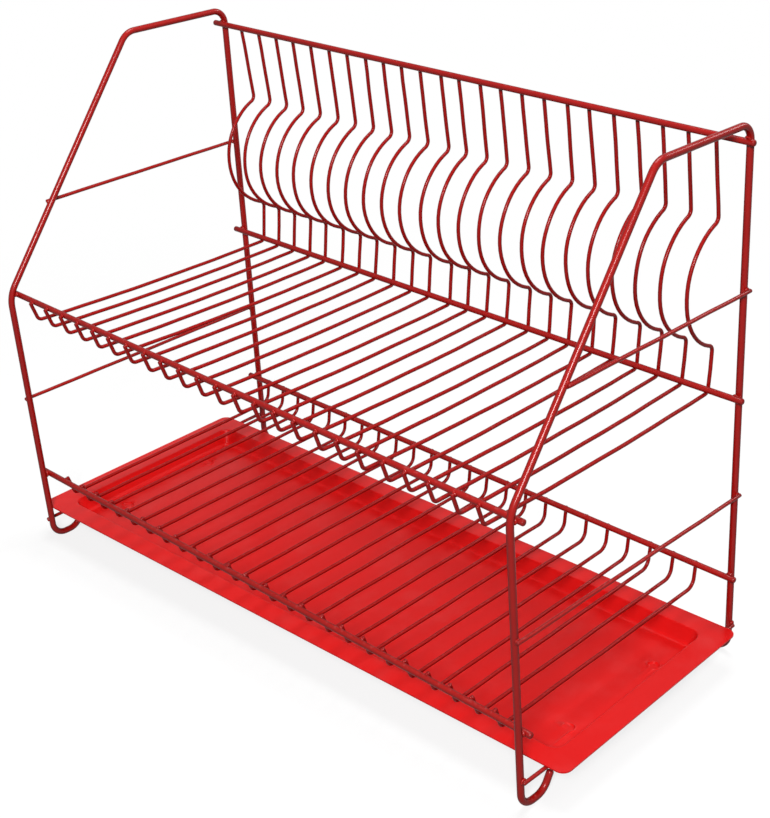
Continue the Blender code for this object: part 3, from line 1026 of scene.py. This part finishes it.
def wire_dust(wiring: GroupWiring, tilt: Point2 = (0.55, 0.95), patches: Point2 = (0.48, 0.74)) -> Socket:
    """Mask of the light dust that lies in patches on what faces up.

    Args:
        wiring: The group's wiring.
        tilt: Range of the normal's height over which dust begins to lie.
        patches: The noise's range over which a patch begins.

    Returns:
        The mask.
    """
    facing = wiring.add("ShaderNodeNewGeometry").outputs["Normal"]
    up = wiring.add("ShaderNodeSeparateXYZ", {"Vector": facing}).outputs["Z"]
    specks = wiring.noise(wiring.given["Vector"], wiring.given["Scale"], detail=5.0)
    mask = wiring.math("MULTIPLY", wiring.ramp(up, *tilt), wiring.ramp(specks, *patches))
    return wiring.math("MULTIPLY", mask, wiring.given["Amount"])


def wire_rub(
    wiring: GroupWiring, turn: float = 0.9, width: float = 0.06, patch_scale: float = 14.0
) -> Socket:
    """Mask of faint rub marks, drawn out along one direction.

    Args:
        wiring: The group's wiring.
        turn: The marks' direction, in radians about Z.
        width: Stretch of the noise across it.
        patch_scale: Scale of the patches in which the marks lie.

    Returns:
        The mask.
    """
    vector = wiring.given["Vector"]
    feeds = {"Vector": vector, "Rotation": (0.0, 0.0, turn), "Scale": (1.0, width, 1.0)}
    stretched = wiring.add("ShaderNodeMapping", feeds).outputs["Vector"]
    lines = wiring.ramp(wiring.noise(stretched, wiring.given["Scale"], detail=4.0), low=0.56, high=0.72)
    patches = wiring.ramp(wiring.noise(vector, patch_scale, detail=1.0), low=0.45, high=0.65)
    mask = wiring.math("MULTIPLY", lines, patches)
    return wiring.math("MULTIPLY", mask, wiring.given["Amount"])


VECTOR_IN = GroupSocket("Vector", "NodeSocketVector")
COLOUR = GroupSocket("Colour", "NodeSocketColor")
SECOND_COLOUR = GroupSocket("Second Colour", "NodeSocketColor")
SCALE_IN = GroupSocket("Scale", value=300.0)
AMOUNT_IN = GroupSocket("Amount", value=0.2)
MASK = GroupSocket("Mask")
PIGMENT = Effect(
    "pigment_drift", (VECTOR_IN, COLOUR, SECOND_COLOUR, SCALE_IN, AMOUNT_IN), COLOUR, wire_pigment
)
ORANGE_PEEL = Effect("orange_peel", (VECTOR_IN, SCALE_IN), GroupSocket("Height"), wire_orange_peel)
DUST = Effect("settled_dust", (VECTOR_IN, SCALE_IN, AMOUNT_IN), MASK, wire_dust)
RUB = Effect("rub_marks", (VECTOR_IN, SCALE_IN, AMOUNT_IN), MASK, wire_rub)


@dataclass(frozen=True)
class RedFinish:
    """What both red finishes share: drifting pigment, a fine ripple, light dust and a low gloss."""

    name: str
    colour: Colour = (0.36, 0.006, 0.004)
    second_colour: Colour = (0.31, 0.005, 0.004)
    pigment_scale: float = 55.0
    pigment_amount: float = 0.6
    dust_colour: Colour = (0.62, 0.42, 0.40)
    dust_scale: float = 420.0
    dust_amount: float = 0.06
    dust_dulling: float = 0.6
    peel_scale: float = 850.0
    peel_depth: float = 0.000025
    peel_strength: float = 0.35
    roughness: float = 0.30
    gloss: float = 0.03

    def pigment(self, wiring: MaterialWiring) -> Socket:
        """The drifting colour under everything else."""
        feeds = {"Colour": self.colour, "Second Colour": self.second_colour, "Scale": self.pigment_scale}
        return PIGMENT.place(wiring, {**feeds, "Amount": self.pigment_amount})

    def cover(self, wiring: MaterialWiring, colour: object, rough: object) -> Material:
        """Lays dust and ripple over a surface.

        Args:
            wiring: The material's wiring.
            colour: The clean surface's colour.
            rough: Its roughness.

        Returns:
            The finished material.
        """
        dust = DUST.place(wiring, {"Scale": self.dust_scale, "Amount": self.dust_amount})
        peel = ORANGE_PEEL.place(wiring, {"Scale": self.peel_scale})
        feeds = {"Height": peel, "Strength": self.peel_strength, "Distance": self.peel_depth}
        wiring.shade(
            Base_Color=wiring.mix(dust, colour, self.dust_colour),
            Roughness=wiring.math("MULTIPLY_ADD", dust, self.dust_dulling, rough),
            Normal=wiring.add("ShaderNodeBump", feeds).outputs["Normal"],
            Specular_IOR_Level=self.gloss,
        )
        return wiring.material


@dataclass(frozen=True)
class PowderCoat(RedFinish):
    """Glossy red coating on steel wire, with painted shade that darkens its colour towards the wire's
    edges as seen by the camera.

    It is thinner and duller where it draws back at the ends.
    """

    thin_colour: Colour = (0.20, 0.008, 0.008)
    thin_share: float = 0.55
    thin_dulling: float = 0.12
    # Painted shade: the colour that the wire's edges darken to as they turn from the view, how much and
    # how quickly.
    edge_colour: Colour = (0.090, 0.003, 0.003)
    edge_share: float = 0.95
    edge_fall: float = 1.2
    glaze: float = 0.40
    glaze_roughness: float = 0.20
    glaze_fall: float = 1.3

    def make(self) -> Material:
        """The finish as a material."""
        wiring = MaterialWiring(self.name)
        thin = wiring.add("ShaderNodeAttribute", attribute_name="coat_thin").outputs["Fac"]
        bare = wiring.math("MULTIPLY", thin, self.thin_share)
        colour = wiring.mix(bare, self.pigment(wiring), self.thin_colour)
        # Painted shade: Layer Weight's Facing darkens the base colour towards the edges that turn from
        # the view.
        facing = wiring.add("ShaderNodeLayerWeight").outputs["Facing"]
        deep = wiring.math("MULTIPLY", wiring.math("POWER", facing, self.edge_fall), self.edge_share)
        inward = wiring.math("POWER", wiring.math("SUBTRACT", 1.0, facing), self.glaze_fall)
        wiring.shade(
            Coat_Weight=wiring.math("MULTIPLY", inward, self.glaze), Coat_Roughness=self.glaze_roughness
        )
        rough = wiring.math("MULTIPLY_ADD", thin, self.thin_dulling, self.roughness)
        # The base colour passed on here carries the painted edge shade.
        return self.cover(wiring, wiring.mix(deep, colour, self.edge_colour), rough)


FRAME_COAT = PowderCoat("frame_coat_red")
RAIL_COAT = PowderCoat("rail_coat_red")
WIRE_COAT = PowderCoat(
    "wire_coat_red", colour=(0.33, 0.004, 0.003), second_colour=(0.29, 0.003, 0.002), glaze=0.26
)
WELD_COAT = PowderCoat("weld_coat_red", colour=(0.45, 0.008, 0.005), peel_depth=0.0001, roughness=0.34)


@dataclass(frozen=True)
class TrayPlastic(RedFinish):
    """Red moulded plastic with a waxy gloss, faint flow marks and rub marks."""

    name: str = "tray_plastic_red"
    colour: Colour = (0.585, 0.005, 0.005)
    second_colour: Colour = (0.55, 0.005, 0.005)
    pigment_scale: float = 9.0
    dust_colour: Colour = (0.70, 0.30, 0.30)
    dust_scale: float = 40.0
    dust_amount: float = 0.03
    dust_dulling: float = 0.8
    peel_scale: float = 1500.0
    peel_depth: float = 0.00002
    peel_strength: float = 0.25
    gloss: float = 0.12
    rub_colour: Colour = (0.72, 0.06, 0.06)
    rub_scale: float = 900.0
    rub_amount: float = 0.05
    rub_dulling: float = 0.35

    def make(self) -> Material:
        """The finish as a material."""
        wiring = MaterialWiring(self.name)
        rub = RUB.place(wiring, {"Scale": self.rub_scale, "Amount": self.rub_amount})
        colour = wiring.mix(rub, self.pigment(wiring), self.rub_colour)
        rough = wiring.math("MULTIPLY_ADD", rub, self.rub_dulling, self.roughness)
        return self.cover(wiring, colour, rough)


# Sub-assemblies


@dataclass(frozen=True)
class SideBar:
    """A thin straight bar on the outer side of a side frame."""

    name: str
    node: str
    height: float
    drops: Point2
    offset: float
    rear_overhang: float


@dataclass
class SideFrame:
    """A bent side frame and the three thin bars on its outer side."""

    plan: RackPlan
    side: Side
    frame_sides: int = 28
    bar_sides: int = 18
    bead_width: float = 0.0024
    bead_height: float = 0.0013
    foot_coat_reach: float = 0.002

    @property
    def x(self) -> float:
        """The plane of the frame's centre line."""
        return self.side.value * self.plan.frame_x

    @property
    def bars(self) -> tuple[SideBar, ...]:
        """The three bars, of which the middle one is part of the frame's own node."""
        plan, apart, over = self.plan, self.plan.bar_to_frame, self.plan.bar_overhang
        sunk, short = plan.welded_bar_to_frame, plan.tray_bar_rear_overhang
        return (
            SideBar("guard_bar", "guard_bar", plan.guard_height, plan.guard_drops, apart, over),
            SideBar("middle_bar", "side_frame", plan.middle_height, plan.middle_drops, sunk, over),
            SideBar("tray_bar", "tray_bar", plan.tray_bar_height, plan.tray_bar_drops, apart, short),
        )

    def crossings(self, bar: SideBar) -> tuple[Point2, Point2]:
        """(y, z) where a bar crosses the front and the rear leg."""
        low = bar.height - self.side.pick(bar.drops)
        return (self.plan.front_leg_y(low), low), (self.plan.rear_leg_y(bar.height), bar.height)

    def bar_line(self, bar: SideBar) -> list[Vector]:
        """Centre line of a side bar.

        Args:
            bar: The bar.

        Returns:
            Its points from front to rear.
        """
        (front, low), (rear, high) = self.crossings(bar)
        x = self.x + self.side.value * bar.offset
        ends = [Corner(front - self.plan.bar_overhang, low), Corner(rear + bar.rear_overhang, high)]
        return [self.plan.place(x, point) for point in PathMaker().path(ends)]

    def bar_beads(self, bar: SideBar) -> list[Bead]:
        """The beads that hold a bar to the frame.

        Args:
            bar: The bar.

        Returns:
            The bead at the front leg and the one at the rear leg.
        """
        depth = self.plan.frame_radius + (bar.offset - self.plan.bar_to_frame) / 2
        outward, along = Vector((self.side.value, 0, 0)), Vector((0, 1, 0))
        x = self.x + self.side.value * depth
        places = [self.plan.place(x, Vector(crossing)) for crossing in self.crossings(bar)]
        return [Bead(place, outward, along, self.bead_width, self.bead_height) for place in places]

    def dress(self, coat: Material) -> list[Bead]:
        """Puts the frame and its bars in the scene.

        Args:
            coat: Their finish.

        Returns:
            The beads that hold the bars.
        """
        word = self.side.word
        wire = RoundWire(self.plan.frame_radius, self.frame_sides, thin_coat_reach=self.foot_coat_reach)
        mesh = wire.mesh(f"side_frame_{word}_coated", self.plan.side_frame_line(self.side))
        put_piece(mesh, coat, RACK_BODY, f"side_frame_{word}")
        wire = RoundWire(self.plan.thin_radius, self.bar_sides)
        beads = []
        for seed, bar in enumerate(self.bars):
            held = self.bar_beads(bar)
            welds = [bead.centre for bead in held]
            line = Sway().apply(self.bar_line(bar), welds, seed + self.side.value)
            mesh = wire.mesh(f"{bar.name}_{word}_coated", line)
            put_piece(mesh, coat, RACK_BODY, f"{bar.node}_{word}")
            beads += held
        return beads


@dataclass
class CrossRails:
    """The five straight rails between the side frames."""

    plan: RackPlan
    sides: int = 24
    parts: int = 64
    bead_size: Point2 = (0.0030, 0.0015)

    def beads(self, name: str) -> list[Bead]:
        """The beads that hold a rail to the side frames.

        Args:
            name: The rail's node.

        Returns:
            One bead at each side frame.
        """
        beads = []
        for side in Side:
            x = side.value * self.plan.frame_x
            away = Vector((-1 if "front" in name else 1, 0))
            if name == "upper_shelf_front_rail":
                away = (self.plan.rail_place(name, x) - self.plan.front_bend_centre()).normalized()
            beads.append(Bead.on_rail(self.plan, name, x, away, self.bead_size))
        return beads

    def dress(self, coat: Material) -> list[Bead]:
        """Puts the rails in the scene.

        Args:
            coat: Their finish.

        Returns:
            The beads that hold them.
        """
        wire = RoundWire(self.plan.rail_radius, self.sides)
        end = self.plan.frame_x + self.plan.rail_overhang
        beads = []
        for name in self.plan.rails():
            ends = [self.plan.place(x, self.plan.rail_place(name, x)) for x in (-end, end)]
            line = [ends[0].lerp(ends[1], part / self.parts) for part in range(self.parts + 1)]
            put_piece(wire.mesh(f"{name}_coated", line), coat, RACK_BODY, name)
            beads += self.beads(name)
        return beads


@dataclass
class ShelfWires:
    """One row of bent shelf wires and the beads that hold them to their rails."""

    plan: RackPlan
    row: Row
    sides: int = 16
    bead_size: Point2 = (0.0017, 0.0009)
    crook_drop: float = 1.0
    tip_drop: float = 0.35

    def way(self, rail: str) -> Vector:
        """Direction from a rail to the wires that are welded to it.

        Args:
            rail: The rail's node.

        Returns:
            The direction as (y, z).
        """
        if rail == "upper_shelf_front_rail":
            return Vector((-1, 0))
        if rail == "lower_shelf_front_rail":
            lean = self.plan.lower_front_lean
            return Vector((math.cos(lean), math.sin(lean)))
        drop = self.crook_drop if rail == "upper_shelf_rear_rail" else self.tip_drop
        return Vector((1, -drop)).normalized()

    def held(self, index: int) -> list[Bead]:
        """The beads that hold one wire to its rails."""
        ends = self.plan.wire_ends(self.row, index).items()
        return [Bead.on_rail(self.plan, rail, x, self.way(rail), self.bead_size) for rail, x in ends]

    def dress(self, coat: Material) -> list[Bead]:
        """Puts the row in the scene.

        Args:
            coat: The wires' finish.

        Returns:
            The beads that hold them.
        """
        wire = RoundWire(self.plan.thin_radius, self.sides)
        beads = []
        for index in range(self.plan.wire_count):
            node = f"{self.row.value}_{index + 1:02d}"
            held = self.held(index)
            welds = [bead.centre for bead in held]
            line = Sway().apply(self.plan.wire_line(self.row, index), welds, index + 1)
            put_piece(wire.mesh(f"{node}_coated", line), coat, RACK_BODY, node)
            beads += held
        return beads


@dataclass(frozen=True)
class TrayRing:
    """One closed ring of the tray's upper surface: insets from the outer edge, corner and height."""

    inset_x: float
    inset_y: float
    corner: float
    height: float


@dataclass
class DripTray:
    """The moulded tray: flat flange, soft-edged pan and the moulding's round marks."""

    plan: RackPlan
    wall: float = 0.0010
    side_overhang: float = 0.0113
    end_clearance: float = 0.0122
    outer_corner: float = 0.0070
    pan_side_clearance: float = 0.0031
    flange_end: float = 0.0166
    pan_depth: float = 0.0120
    side_run: float = 0.0050
    end_run: float = 0.0050
    pan_corner: float = 0.0090
    forward: float = 0.0036
    turn: float = math.radians(1.8)
    lip_fillet: float = 0.0011
    floor_fillet: float = 0.0040
    edge_round: float = 0.0003
    edge_segments: int = 3
    edge_angle: float = math.radians(50)
    flat_margin: float = 0.0012
    floor_lead: float = 1.05
    mark_places: tuple[Point2, ...] = (
        (0.2310, -0.0496), (0.2349, 0.0454), (-0.2258, -0.0474), (-0.2300, 0.0460),
    )
    mark_radius: float = 0.0038
    mark_depth: float = 0.00080
    mark_edge: float = 0.10
    mark_reach: float = 1.3
    rim_place: float = 1.15
    rim_width: float = 0.12
    rim_height: float = 0.80
    fillet_steps: int = 8
    floor_margin: float = 0.0009
    corner_steps: int = 8
    floor_cell: float = 0.010
    floor_wave: float = 0.00012
    cross_share: float = 0.6
    calm: Point2 = (0.236, 0.077)
    calm_power: int = 8
    mark_cell: float = 0.0006

    @property
    def half_x(self) -> float:
        """Half of the tray's length."""
        return self.plan.frame_x + self.plan.bar_to_frame + self.plan.thin_radius + self.side_overhang

    @property
    def ends_y(self) -> Point2:
        """y of the tray's front and rear edges if it lay straight in the middle between the legs."""
        gap = self.plan.frame_radius + self.end_clearance
        height = self.plan.tray_bar_height
        return self.plan.front_leg_y(height) + gap, self.plan.rear_leg_y(height) - gap

    @property
    def half_y(self) -> float:
        """Half of the tray's width."""
        return (self.ends_y[1] - self.ends_y[0]) / 2

    @property
    def seat(self) -> Matrix:
        """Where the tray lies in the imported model's frame: pushed forward and turned a little."""
        y = sum(self.ends_y) / 2 - self.forward - self.plan.middle_y
        return Matrix.Translation((0, y, 0)) @ Matrix.Rotation(self.turn, 4, "Z")

    @property
    def top(self) -> float:
        """Height of the flange's upper face."""
        return self.plan.tray_bar_height + self.plan.thin_radius + self.plan.touch_gap + self.wall

    def section(self, run: float, flange: float) -> list[Point2]:
        """(inset, height) points of a section from the outer edge to the pan's floor.

        Args:
            run: Width of the sloped wall.
            flange: Width of the flange.

        Returns:
            The section's points, with the fillets at the flange and the floor.
        """
        slope, foot = math.atan2(self.pan_depth, run), flange + run
        corners = [
            Corner(0.0, 0.0),
            Corner(self.flat_margin, 0.0),
            Corner(flange - 2 * self.lip_fillet, 0.0),
            Corner(flange, 0.0, self.lip_fillet),
            Corner(foot, -self.pan_depth, self.floor_fillet),
            Corner(foot + self.floor_fillet * math.tan(slope / 2) * self.floor_lead, -self.pan_depth),
        ]
        # Half a step less than the bend holds, so that every section gets the same count of points.
        maker = PathMaker(bend_step=slope / (self.fillet_steps - 0.5), longest_run=1.0)
        return [(point.x, point.y) for point in maker.path(corners)]

    def rings(self) -> list[TrayRing]:
        """The rings of the upper surface from the outer edge to the pan's floor."""
        bar_inner = self.plan.frame_x + self.plan.bar_to_frame - self.plan.thin_radius
        side_flange = self.half_x - (bar_inner - self.pan_side_clearance - self.wall)
        side = self.section(self.side_run, side_flange)
        end = self.section(self.end_run, self.flange_end)
        rings = []
        for (inset_x, height_x), (inset_y, height_y) in zip(side, end):
            height = (height_x + height_y) / 2
            share = min(1.0, min(inset_x / side_flange, inset_y / self.flange_end))
            corner = self.outer_corner + (self.pan_corner - self.outer_corner) * share
            corner -= max(0.0, inset_y - self.flange_end)
            rings.append(TrayRing(inset_x, inset_y, corner, self.top + height))
        last, inset = rings[-1], self.floor_margin
        rings.append(TrayRing(last.inset_x + inset, last.inset_y + inset, inset / 2, last.height))
        return rings

    def lines(self, half: float, marks: Sequence[float]) -> list[float]:
        """Grid lines along one direction of the floor, close together at the moulding marks.

        Args:
            half: Half of the floor's width.
            marks: Where the marks are.

        Returns:
            The lines' places from -half to half.
        """
        count = math.ceil(2 * half / self.floor_cell)
        places = {round(-half + 2 * half * step / count, 6) for step in range(count + 1)}
        reach = self.mark_radius * self.mark_reach
        for mark in marks:
            places = {place for place in places if abs(place - mark) > reach + self.floor_cell / 3}
            steps = math.ceil(reach / self.mark_cell)
            places |= {round(mark + reach * step / steps, 6) for step in range(-steps, steps + 1)}
        return sorted({place for place in places if abs(place) < half} | {-half, half})

    def sink(self, x: float, y: float) -> float:
        """Height of the floor's marks and slow unevenness.

        Args:
            x: Place along the tray, from its middle.
            y: Place across it.

        Returns:
            What they add to the flat floor's height there.
        """
        added = 0.0
        radius = self.mark_radius
        for mark_x, mark_y in self.mark_places:
            away = math.hypot(x - mark_x, y - mark_y)
            dent = (1 - math.tanh((away - radius) / (radius * self.mark_edge))) / 2
            rim = math.exp(-(((away - radius * self.rim_place) / (radius * self.rim_width)) ** 2))
            added += self.mark_depth * (self.rim_height * rim - dent)
        # Three sines of no common period stand for the unevenness of a thin moulded sheet.
        slow = math.sin(23 * x + 1.1) * math.sin(37 * y + 0.4)
        slow += self.cross_share * math.sin(51 * x - 29 * y)
        power = self.calm_power
        calm = max(0.0, 1 - (x / self.calm[0]) ** power) * max(0.0, 1 - (y / self.calm[1]) ** power)
        return added + self.floor_wave * slow * calm

    def build(self) -> Mesh:
        """The tray's upper surface as an open mesh, floor and all."""
        half_y, seat = self.half_y, self.seat
        rings = self.rings()
        last = rings[-1]
        inner_x = self.half_x - last.inset_x - last.corner
        inner_y = half_y - last.inset_y - last.corner
        marks_x, marks_y = zip(*self.mark_places)
        xs, ys = self.lines(inner_x, sorted(marks_x)), self.lines(inner_y, sorted(marks_y))
        points: list[Vector] = []
        loops: list[list[int]] = []
        for ring in rings:
            straight_x = self.half_x - ring.inset_x - ring.corner
            straight_y = half_y - ring.inset_y - ring.corner
            ring_xs = [x * straight_x / inner_x for x in xs]
            ring_ys = [y * straight_y / inner_y for y in ys]
            loop = self.ring_points(ring_xs, ring_ys, ring.corner)
            loops.append(list(range(len(points), len(points) + len(loop))))
            points += [seat @ Vector((x, y, ring.height)) for x, y in loop]
        faces: list[tuple[int, ...]] = []
        for outer, inner in zip(loops, loops[1:]):
            for index in range(len(outer)):
                after = (index + 1) % len(outer)
                faces.append((outer[index], outer[after], inner[after], inner[index]))
        floor_start = len(points)
        for y in ys:
            points += [seat @ Vector((x, y, last.height + self.sink(x, y))) for x in xs]
        for row in range(len(ys) - 1):
            for column in range(len(xs) - 1):
                base = floor_start + row * len(xs) + column
                faces.append((base, base + 1, base + len(xs) + 1, base + len(xs)))
        faces += self.join_floor(loops[-1], floor_start, len(xs), len(ys))
        return smooth_mesh("drip_tray_shell", points, faces)

    def ring_points(self, xs: Sequence[float], ys: Sequence[float], corner: float) -> list[Point2]:
        """One ring of points, anticlockwise from its front left.

        Args:
            xs: Places of the points on its front and rear sides.
            ys: Places of the points on its left and right sides.
            corner: Radius of its round corners.

        Returns:
            The ring's (x, y) points.
        """
        arc = [math.pi / 2 * step / self.corner_steps for step in range(1, self.corner_steps)]
        low_x, high_x, low_y, high_y = xs[0], xs[-1], ys[0], ys[-1]
        points = [(x, low_y - corner) for x in xs]
        points += [(high_x + corner * math.sin(a), low_y - corner * math.cos(a)) for a in arc]
        points += [(high_x + corner, y) for y in ys]
        points += [(high_x + corner * math.cos(a), high_y + corner * math.sin(a)) for a in arc]
        points += [(x, high_y + corner) for x in reversed(xs)]
        points += [(low_x - corner * math.sin(a), high_y + corner * math.cos(a)) for a in arc]
        points += [(low_x - corner, y) for y in reversed(ys)]
        points += [(low_x - corner * math.cos(a), low_y - corner * math.sin(a)) for a in arc]
        return points

    def join_floor(self, loop: Sequence[int], start: int, wide: int, deep: int) -> list[tuple[int, ...]]:
        """Faces between the last ring and the floor's grid.

        Args:
            loop: The last ring's vertices.
            start: The grid's first vertex.
            wide: Its number of vertices along x.
            deep: Its number of vertices along y.

        Returns:
            The faces along the four sides and in the four corners.
        """
        sides = [
            [start + column for column in range(wide)],
            [start + row * wide + wide - 1 for row in range(deep)],
            [start + (deep - 1) * wide + column for column in reversed(range(wide))],
            [start + row * wide for row in reversed(range(deep))],
        ]
        faces: list[tuple[int, ...]] = []
        at = 0
        for side in sides:
            for step in range(len(side) - 1):
                faces.append((loop[at + step], loop[at + step + 1], side[step + 1], side[step]))
            at += len(side) - 1
            for step in range(self.corner_steps):
                after = (at + step + 1) % len(loop)
                faces.append((loop[at + step], loop[after], side[-1]))
            at += self.corner_steps
        return faces

    def dress(self, plastic: Material) -> None:
        """Puts the tray in the scene, with its wall thickness and rounded rim.

        Args:
            plastic: Its finish.
        """
        tray = put_piece(self.build(), plastic, TRAY_BODY, "drip_tray")
        wall = tray.modifiers.new("wall", "SOLIDIFY")
        wall.thickness = self.wall
        wall.offset = -1
        wall.use_even_offset = True
        rim = tray.modifiers.new("rim", "BEVEL")
        rim.limit_method = "ANGLE"
        rim.angle_limit = self.edge_angle
        rim.width = self.edge_round
        rim.segments = self.edge_segments
        rim.harden_normals = True


# Studio


@dataclass(frozen=True)
class Lamp:
    """A soft rectangular studio light."""

    name: str
    place: Point3
    aim: Point3
    size: Point2
    watts: float

    def hang(self) -> None:
        """Puts the light in the scene."""
        data = bpy.data.lights.new(self.name, "AREA")
        data.shape = "RECTANGLE"
        data.size, data.size_y = self.size
        data.energy = self.watts
        lamp = bpy.data.objects.new(self.name, data)
        lamp.location = self.place
        beam = Vector(self.aim) - Vector(self.place)
        lamp.rotation_euler = beam.to_track_quat("-Z", "Y").to_euler()
        bpy.context.scene.collection.objects.link(lamp)


@dataclass(frozen=True)
class Camera:
    """The photograph's camera, as found from the rack's own corners."""

    place: Point3 = (0.7765, -0.7599, 0.7031)
    azimuth: float = math.radians(44.45)
    elevation: float = math.radians(23.69)
    roll: float = math.radians(-1.31)
    focal_pixels: float = 1646.1
    centre_pixels: Point2 = (385.1, 326.9)
    frame_pixels: Point2 = (770.0, 818.0)
    sensor: float = 36.0

    def aim(self) -> None:
        """Makes the camera and gives it to the scene."""
        a, e = self.azimuth, self.elevation
        back = Vector((math.sin(a) * math.cos(e), -math.cos(a) * math.cos(e), math.sin(e)))
        right = Vector((0, 0, 1)).cross(back).normalized()
        up = back.cross(right)
        turned_right = right * math.cos(self.roll) + up * math.sin(self.roll)
        turned_up = up * math.cos(self.roll) - right * math.sin(self.roll)
        data = bpy.data.cameras.new("photo_camera")
        long_side = max(self.frame_pixels)
        data.sensor_width = self.sensor
        data.lens = self.sensor * self.focal_pixels / long_side
        data.shift_x = (self.frame_pixels[0] / 2 - self.centre_pixels[0]) / long_side
        data.shift_y = (self.centre_pixels[1] - self.frame_pixels[1] / 2) / long_side
        camera = bpy.data.objects.new("photo_camera", data)
        turn = Matrix((turned_right, turned_up, back)).transposed().to_4x4()
        camera.matrix_world = Matrix.Translation(self.place) @ turn
        bpy.context.scene.collection.objects.link(camera)
        bpy.context.scene.camera = camera


@dataclass(frozen=True)
class Studio:
    """Pale floor, white surroundings and soft lamps."""

    floor_size: float = 30.0
    floor_colour: Colour = (0.90, 0.90, 0.90)
    floor_shade: Colour = (0.08, 0.08, 0.08)
    floor_roughness: float = 0.9
    far_floor: float = 1.0
    near_glow: float = 0.78
    fade: Point2 = (0.35, 0.95)
    sky_seen: float = 1.0
    sky_light: float = 0.06
    lamps: tuple[Lamp, ...] = (
        Lamp("overhead_softbox", (-0.1, 0.3, 1.9), (0, 0, 0.1), (0.9, 0.8), 25.0),
        Lamp("front_softbox", (1.25, -1.55, 1.45), (0, 0, 0.2), (0.55, 0.55), 58.0),
        Lamp("rear_softbox", (0.75, 2.0, 1.5), (0, 0, 0.2), (0.6, 0.6), 17.0),
    )

    def seen_directly(self, wiring: Wiring) -> Socket:
        """Tells rays that show the surroundings from rays that only light the rack.

        Args:
            wiring: The wiring of the floor or the world.

        Returns:
            1 for rays from the camera, from gloss and through glass, and 0 for diffuse light.
        """
        path = wiring.add("ShaderNodeLightPath")
        seen = wiring.math("MAXIMUM", path.outputs["Is Camera Ray"], path.outputs["Is Glossy Ray"])
        return wiring.math("MAXIMUM", seen, path.outputs["Is Transmission Ray"])

    def lay_floor(self) -> None:
        """The pale floor, which throws little light back up under the wires."""
        half = self.floor_size / 2
        mesh = bpy.data.meshes.new("studio_floor")
        corners = [(-half, -half, 0), (half, -half, 0), (half, half, 0), (-half, half, 0)]
        mesh.from_pydata(corners, [], [(0, 1, 2, 3)])
        wiring = MaterialWiring("studio_floor_paint")
        seen = self.seen_directly(wiring)
        wiring.shade(
            Base_Color=wiring.mix(seen, self.floor_shade, self.floor_colour),
            Roughness=self.floor_roughness,
            Specular_IOR_Level=0.0,
        )
        away = wiring.add("ShaderNodeVectorMath", {0: wiring.place}, operation="LENGTH").outputs["Value"]
        far = wiring.math("MULTIPLY", wiring.ramp(away, *self.fade, self.near_glow), seen)
        glow = wiring.add("ShaderNodeEmission", {"Color": (1.0, 1.0, 1.0), "Strength": self.far_floor})
        layers = {0: far, 1: wiring.shader.outputs["BSDF"], 2: glow.outputs["Emission"]}
        surface = wiring.add("ShaderNodeMixShader", layers).outputs["Shader"]
        wiring.feed(wiring.tree.nodes["Material Output"].inputs["Surface"], surface)
        mesh.materials.append(wiring.material)
        floor = bpy.data.objects.new("studio_floor", mesh)
        bpy.context.scene.collection.objects.link(floor)
        floor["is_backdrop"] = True

    def light(self) -> None:
        """The surroundings' plain light and the lamps."""
        world = bpy.data.worlds.new("studio_world")
        world.use_nodes = True
        wiring = Wiring(world.node_tree)
        background = world.node_tree.nodes["Background"]
        strength = wiring.add("ShaderNodeMapRange", {
            "Value": self.seen_directly(wiring), "To Min": self.sky_light, "To Max": self.sky_seen,
        })
        background.inputs["Color"].default_value = (1.0, 1.0, 1.0, 1.0)
        wiring.feed(background.inputs["Strength"], strength.outputs["Result"])
        bpy.context.scene.world = world
        for lamp in self.lamps:
            lamp.hang()

    def set_up(self) -> None:
        """Makes the camera, the floor and the light."""
        Camera().aim()
        self.lay_floor()
        self.light()
        bpy.context.scene.view_settings.view_transform = "Standard"


def clear_start() -> None:
    """Removes what a new file starts with."""
    for obj in list(bpy.data.objects):
        bpy.data.objects.remove(obj, do_unlink=True)


def main() -> list[list[float]]:
    """Builds the dressed rack and its studio.

    Returns:
        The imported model's box, from before any piece was added.
    """
    logging.basicConfig(level=logging.INFO, format="%(name)s: %(message)s")
    clear_start()
    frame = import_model()
    cad_box = [list(corner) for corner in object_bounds()]
    LOG.info("loaded %d packed nodes", len(frame["nodes"]))
    Studio().set_up()
    plan = RackPlan()
    frame_coat, rail_coat = FRAME_COAT.make(), RAIL_COAT.make()
    wire_coat, weld_coat = WIRE_COAT.make(), WELD_COAT.make()
    for side in Side:
        beads = SideFrame(plan, side).dress(frame_coat)
        WeldRun(f"side_bar_welds_{side.word}", beads).build(weld_coat, "frame_coat")
        LOG.info("dressed the %s side frame and its bars", side.word)
    WeldRun("rail_welds", CrossRails(plan).dress(rail_coat)).build(weld_coat, "rail_coat")
    LOG.info("dressed the cross rails")
    for row in Row:
        beads = ShelfWires(plan, row).dress(wire_coat)
        WeldRun(f"{row.value}_welds", beads).build(weld_coat, "wire_coat")
        LOG.info("dressed the row %s with %d welds", row.value, len(beads))
    DripTray(plan).dress(TrayPlastic().make())
    LOG.info("dressed the drip tray")
    return cad_box


if __name__ == "__main__":
    CAD_BOX = main()
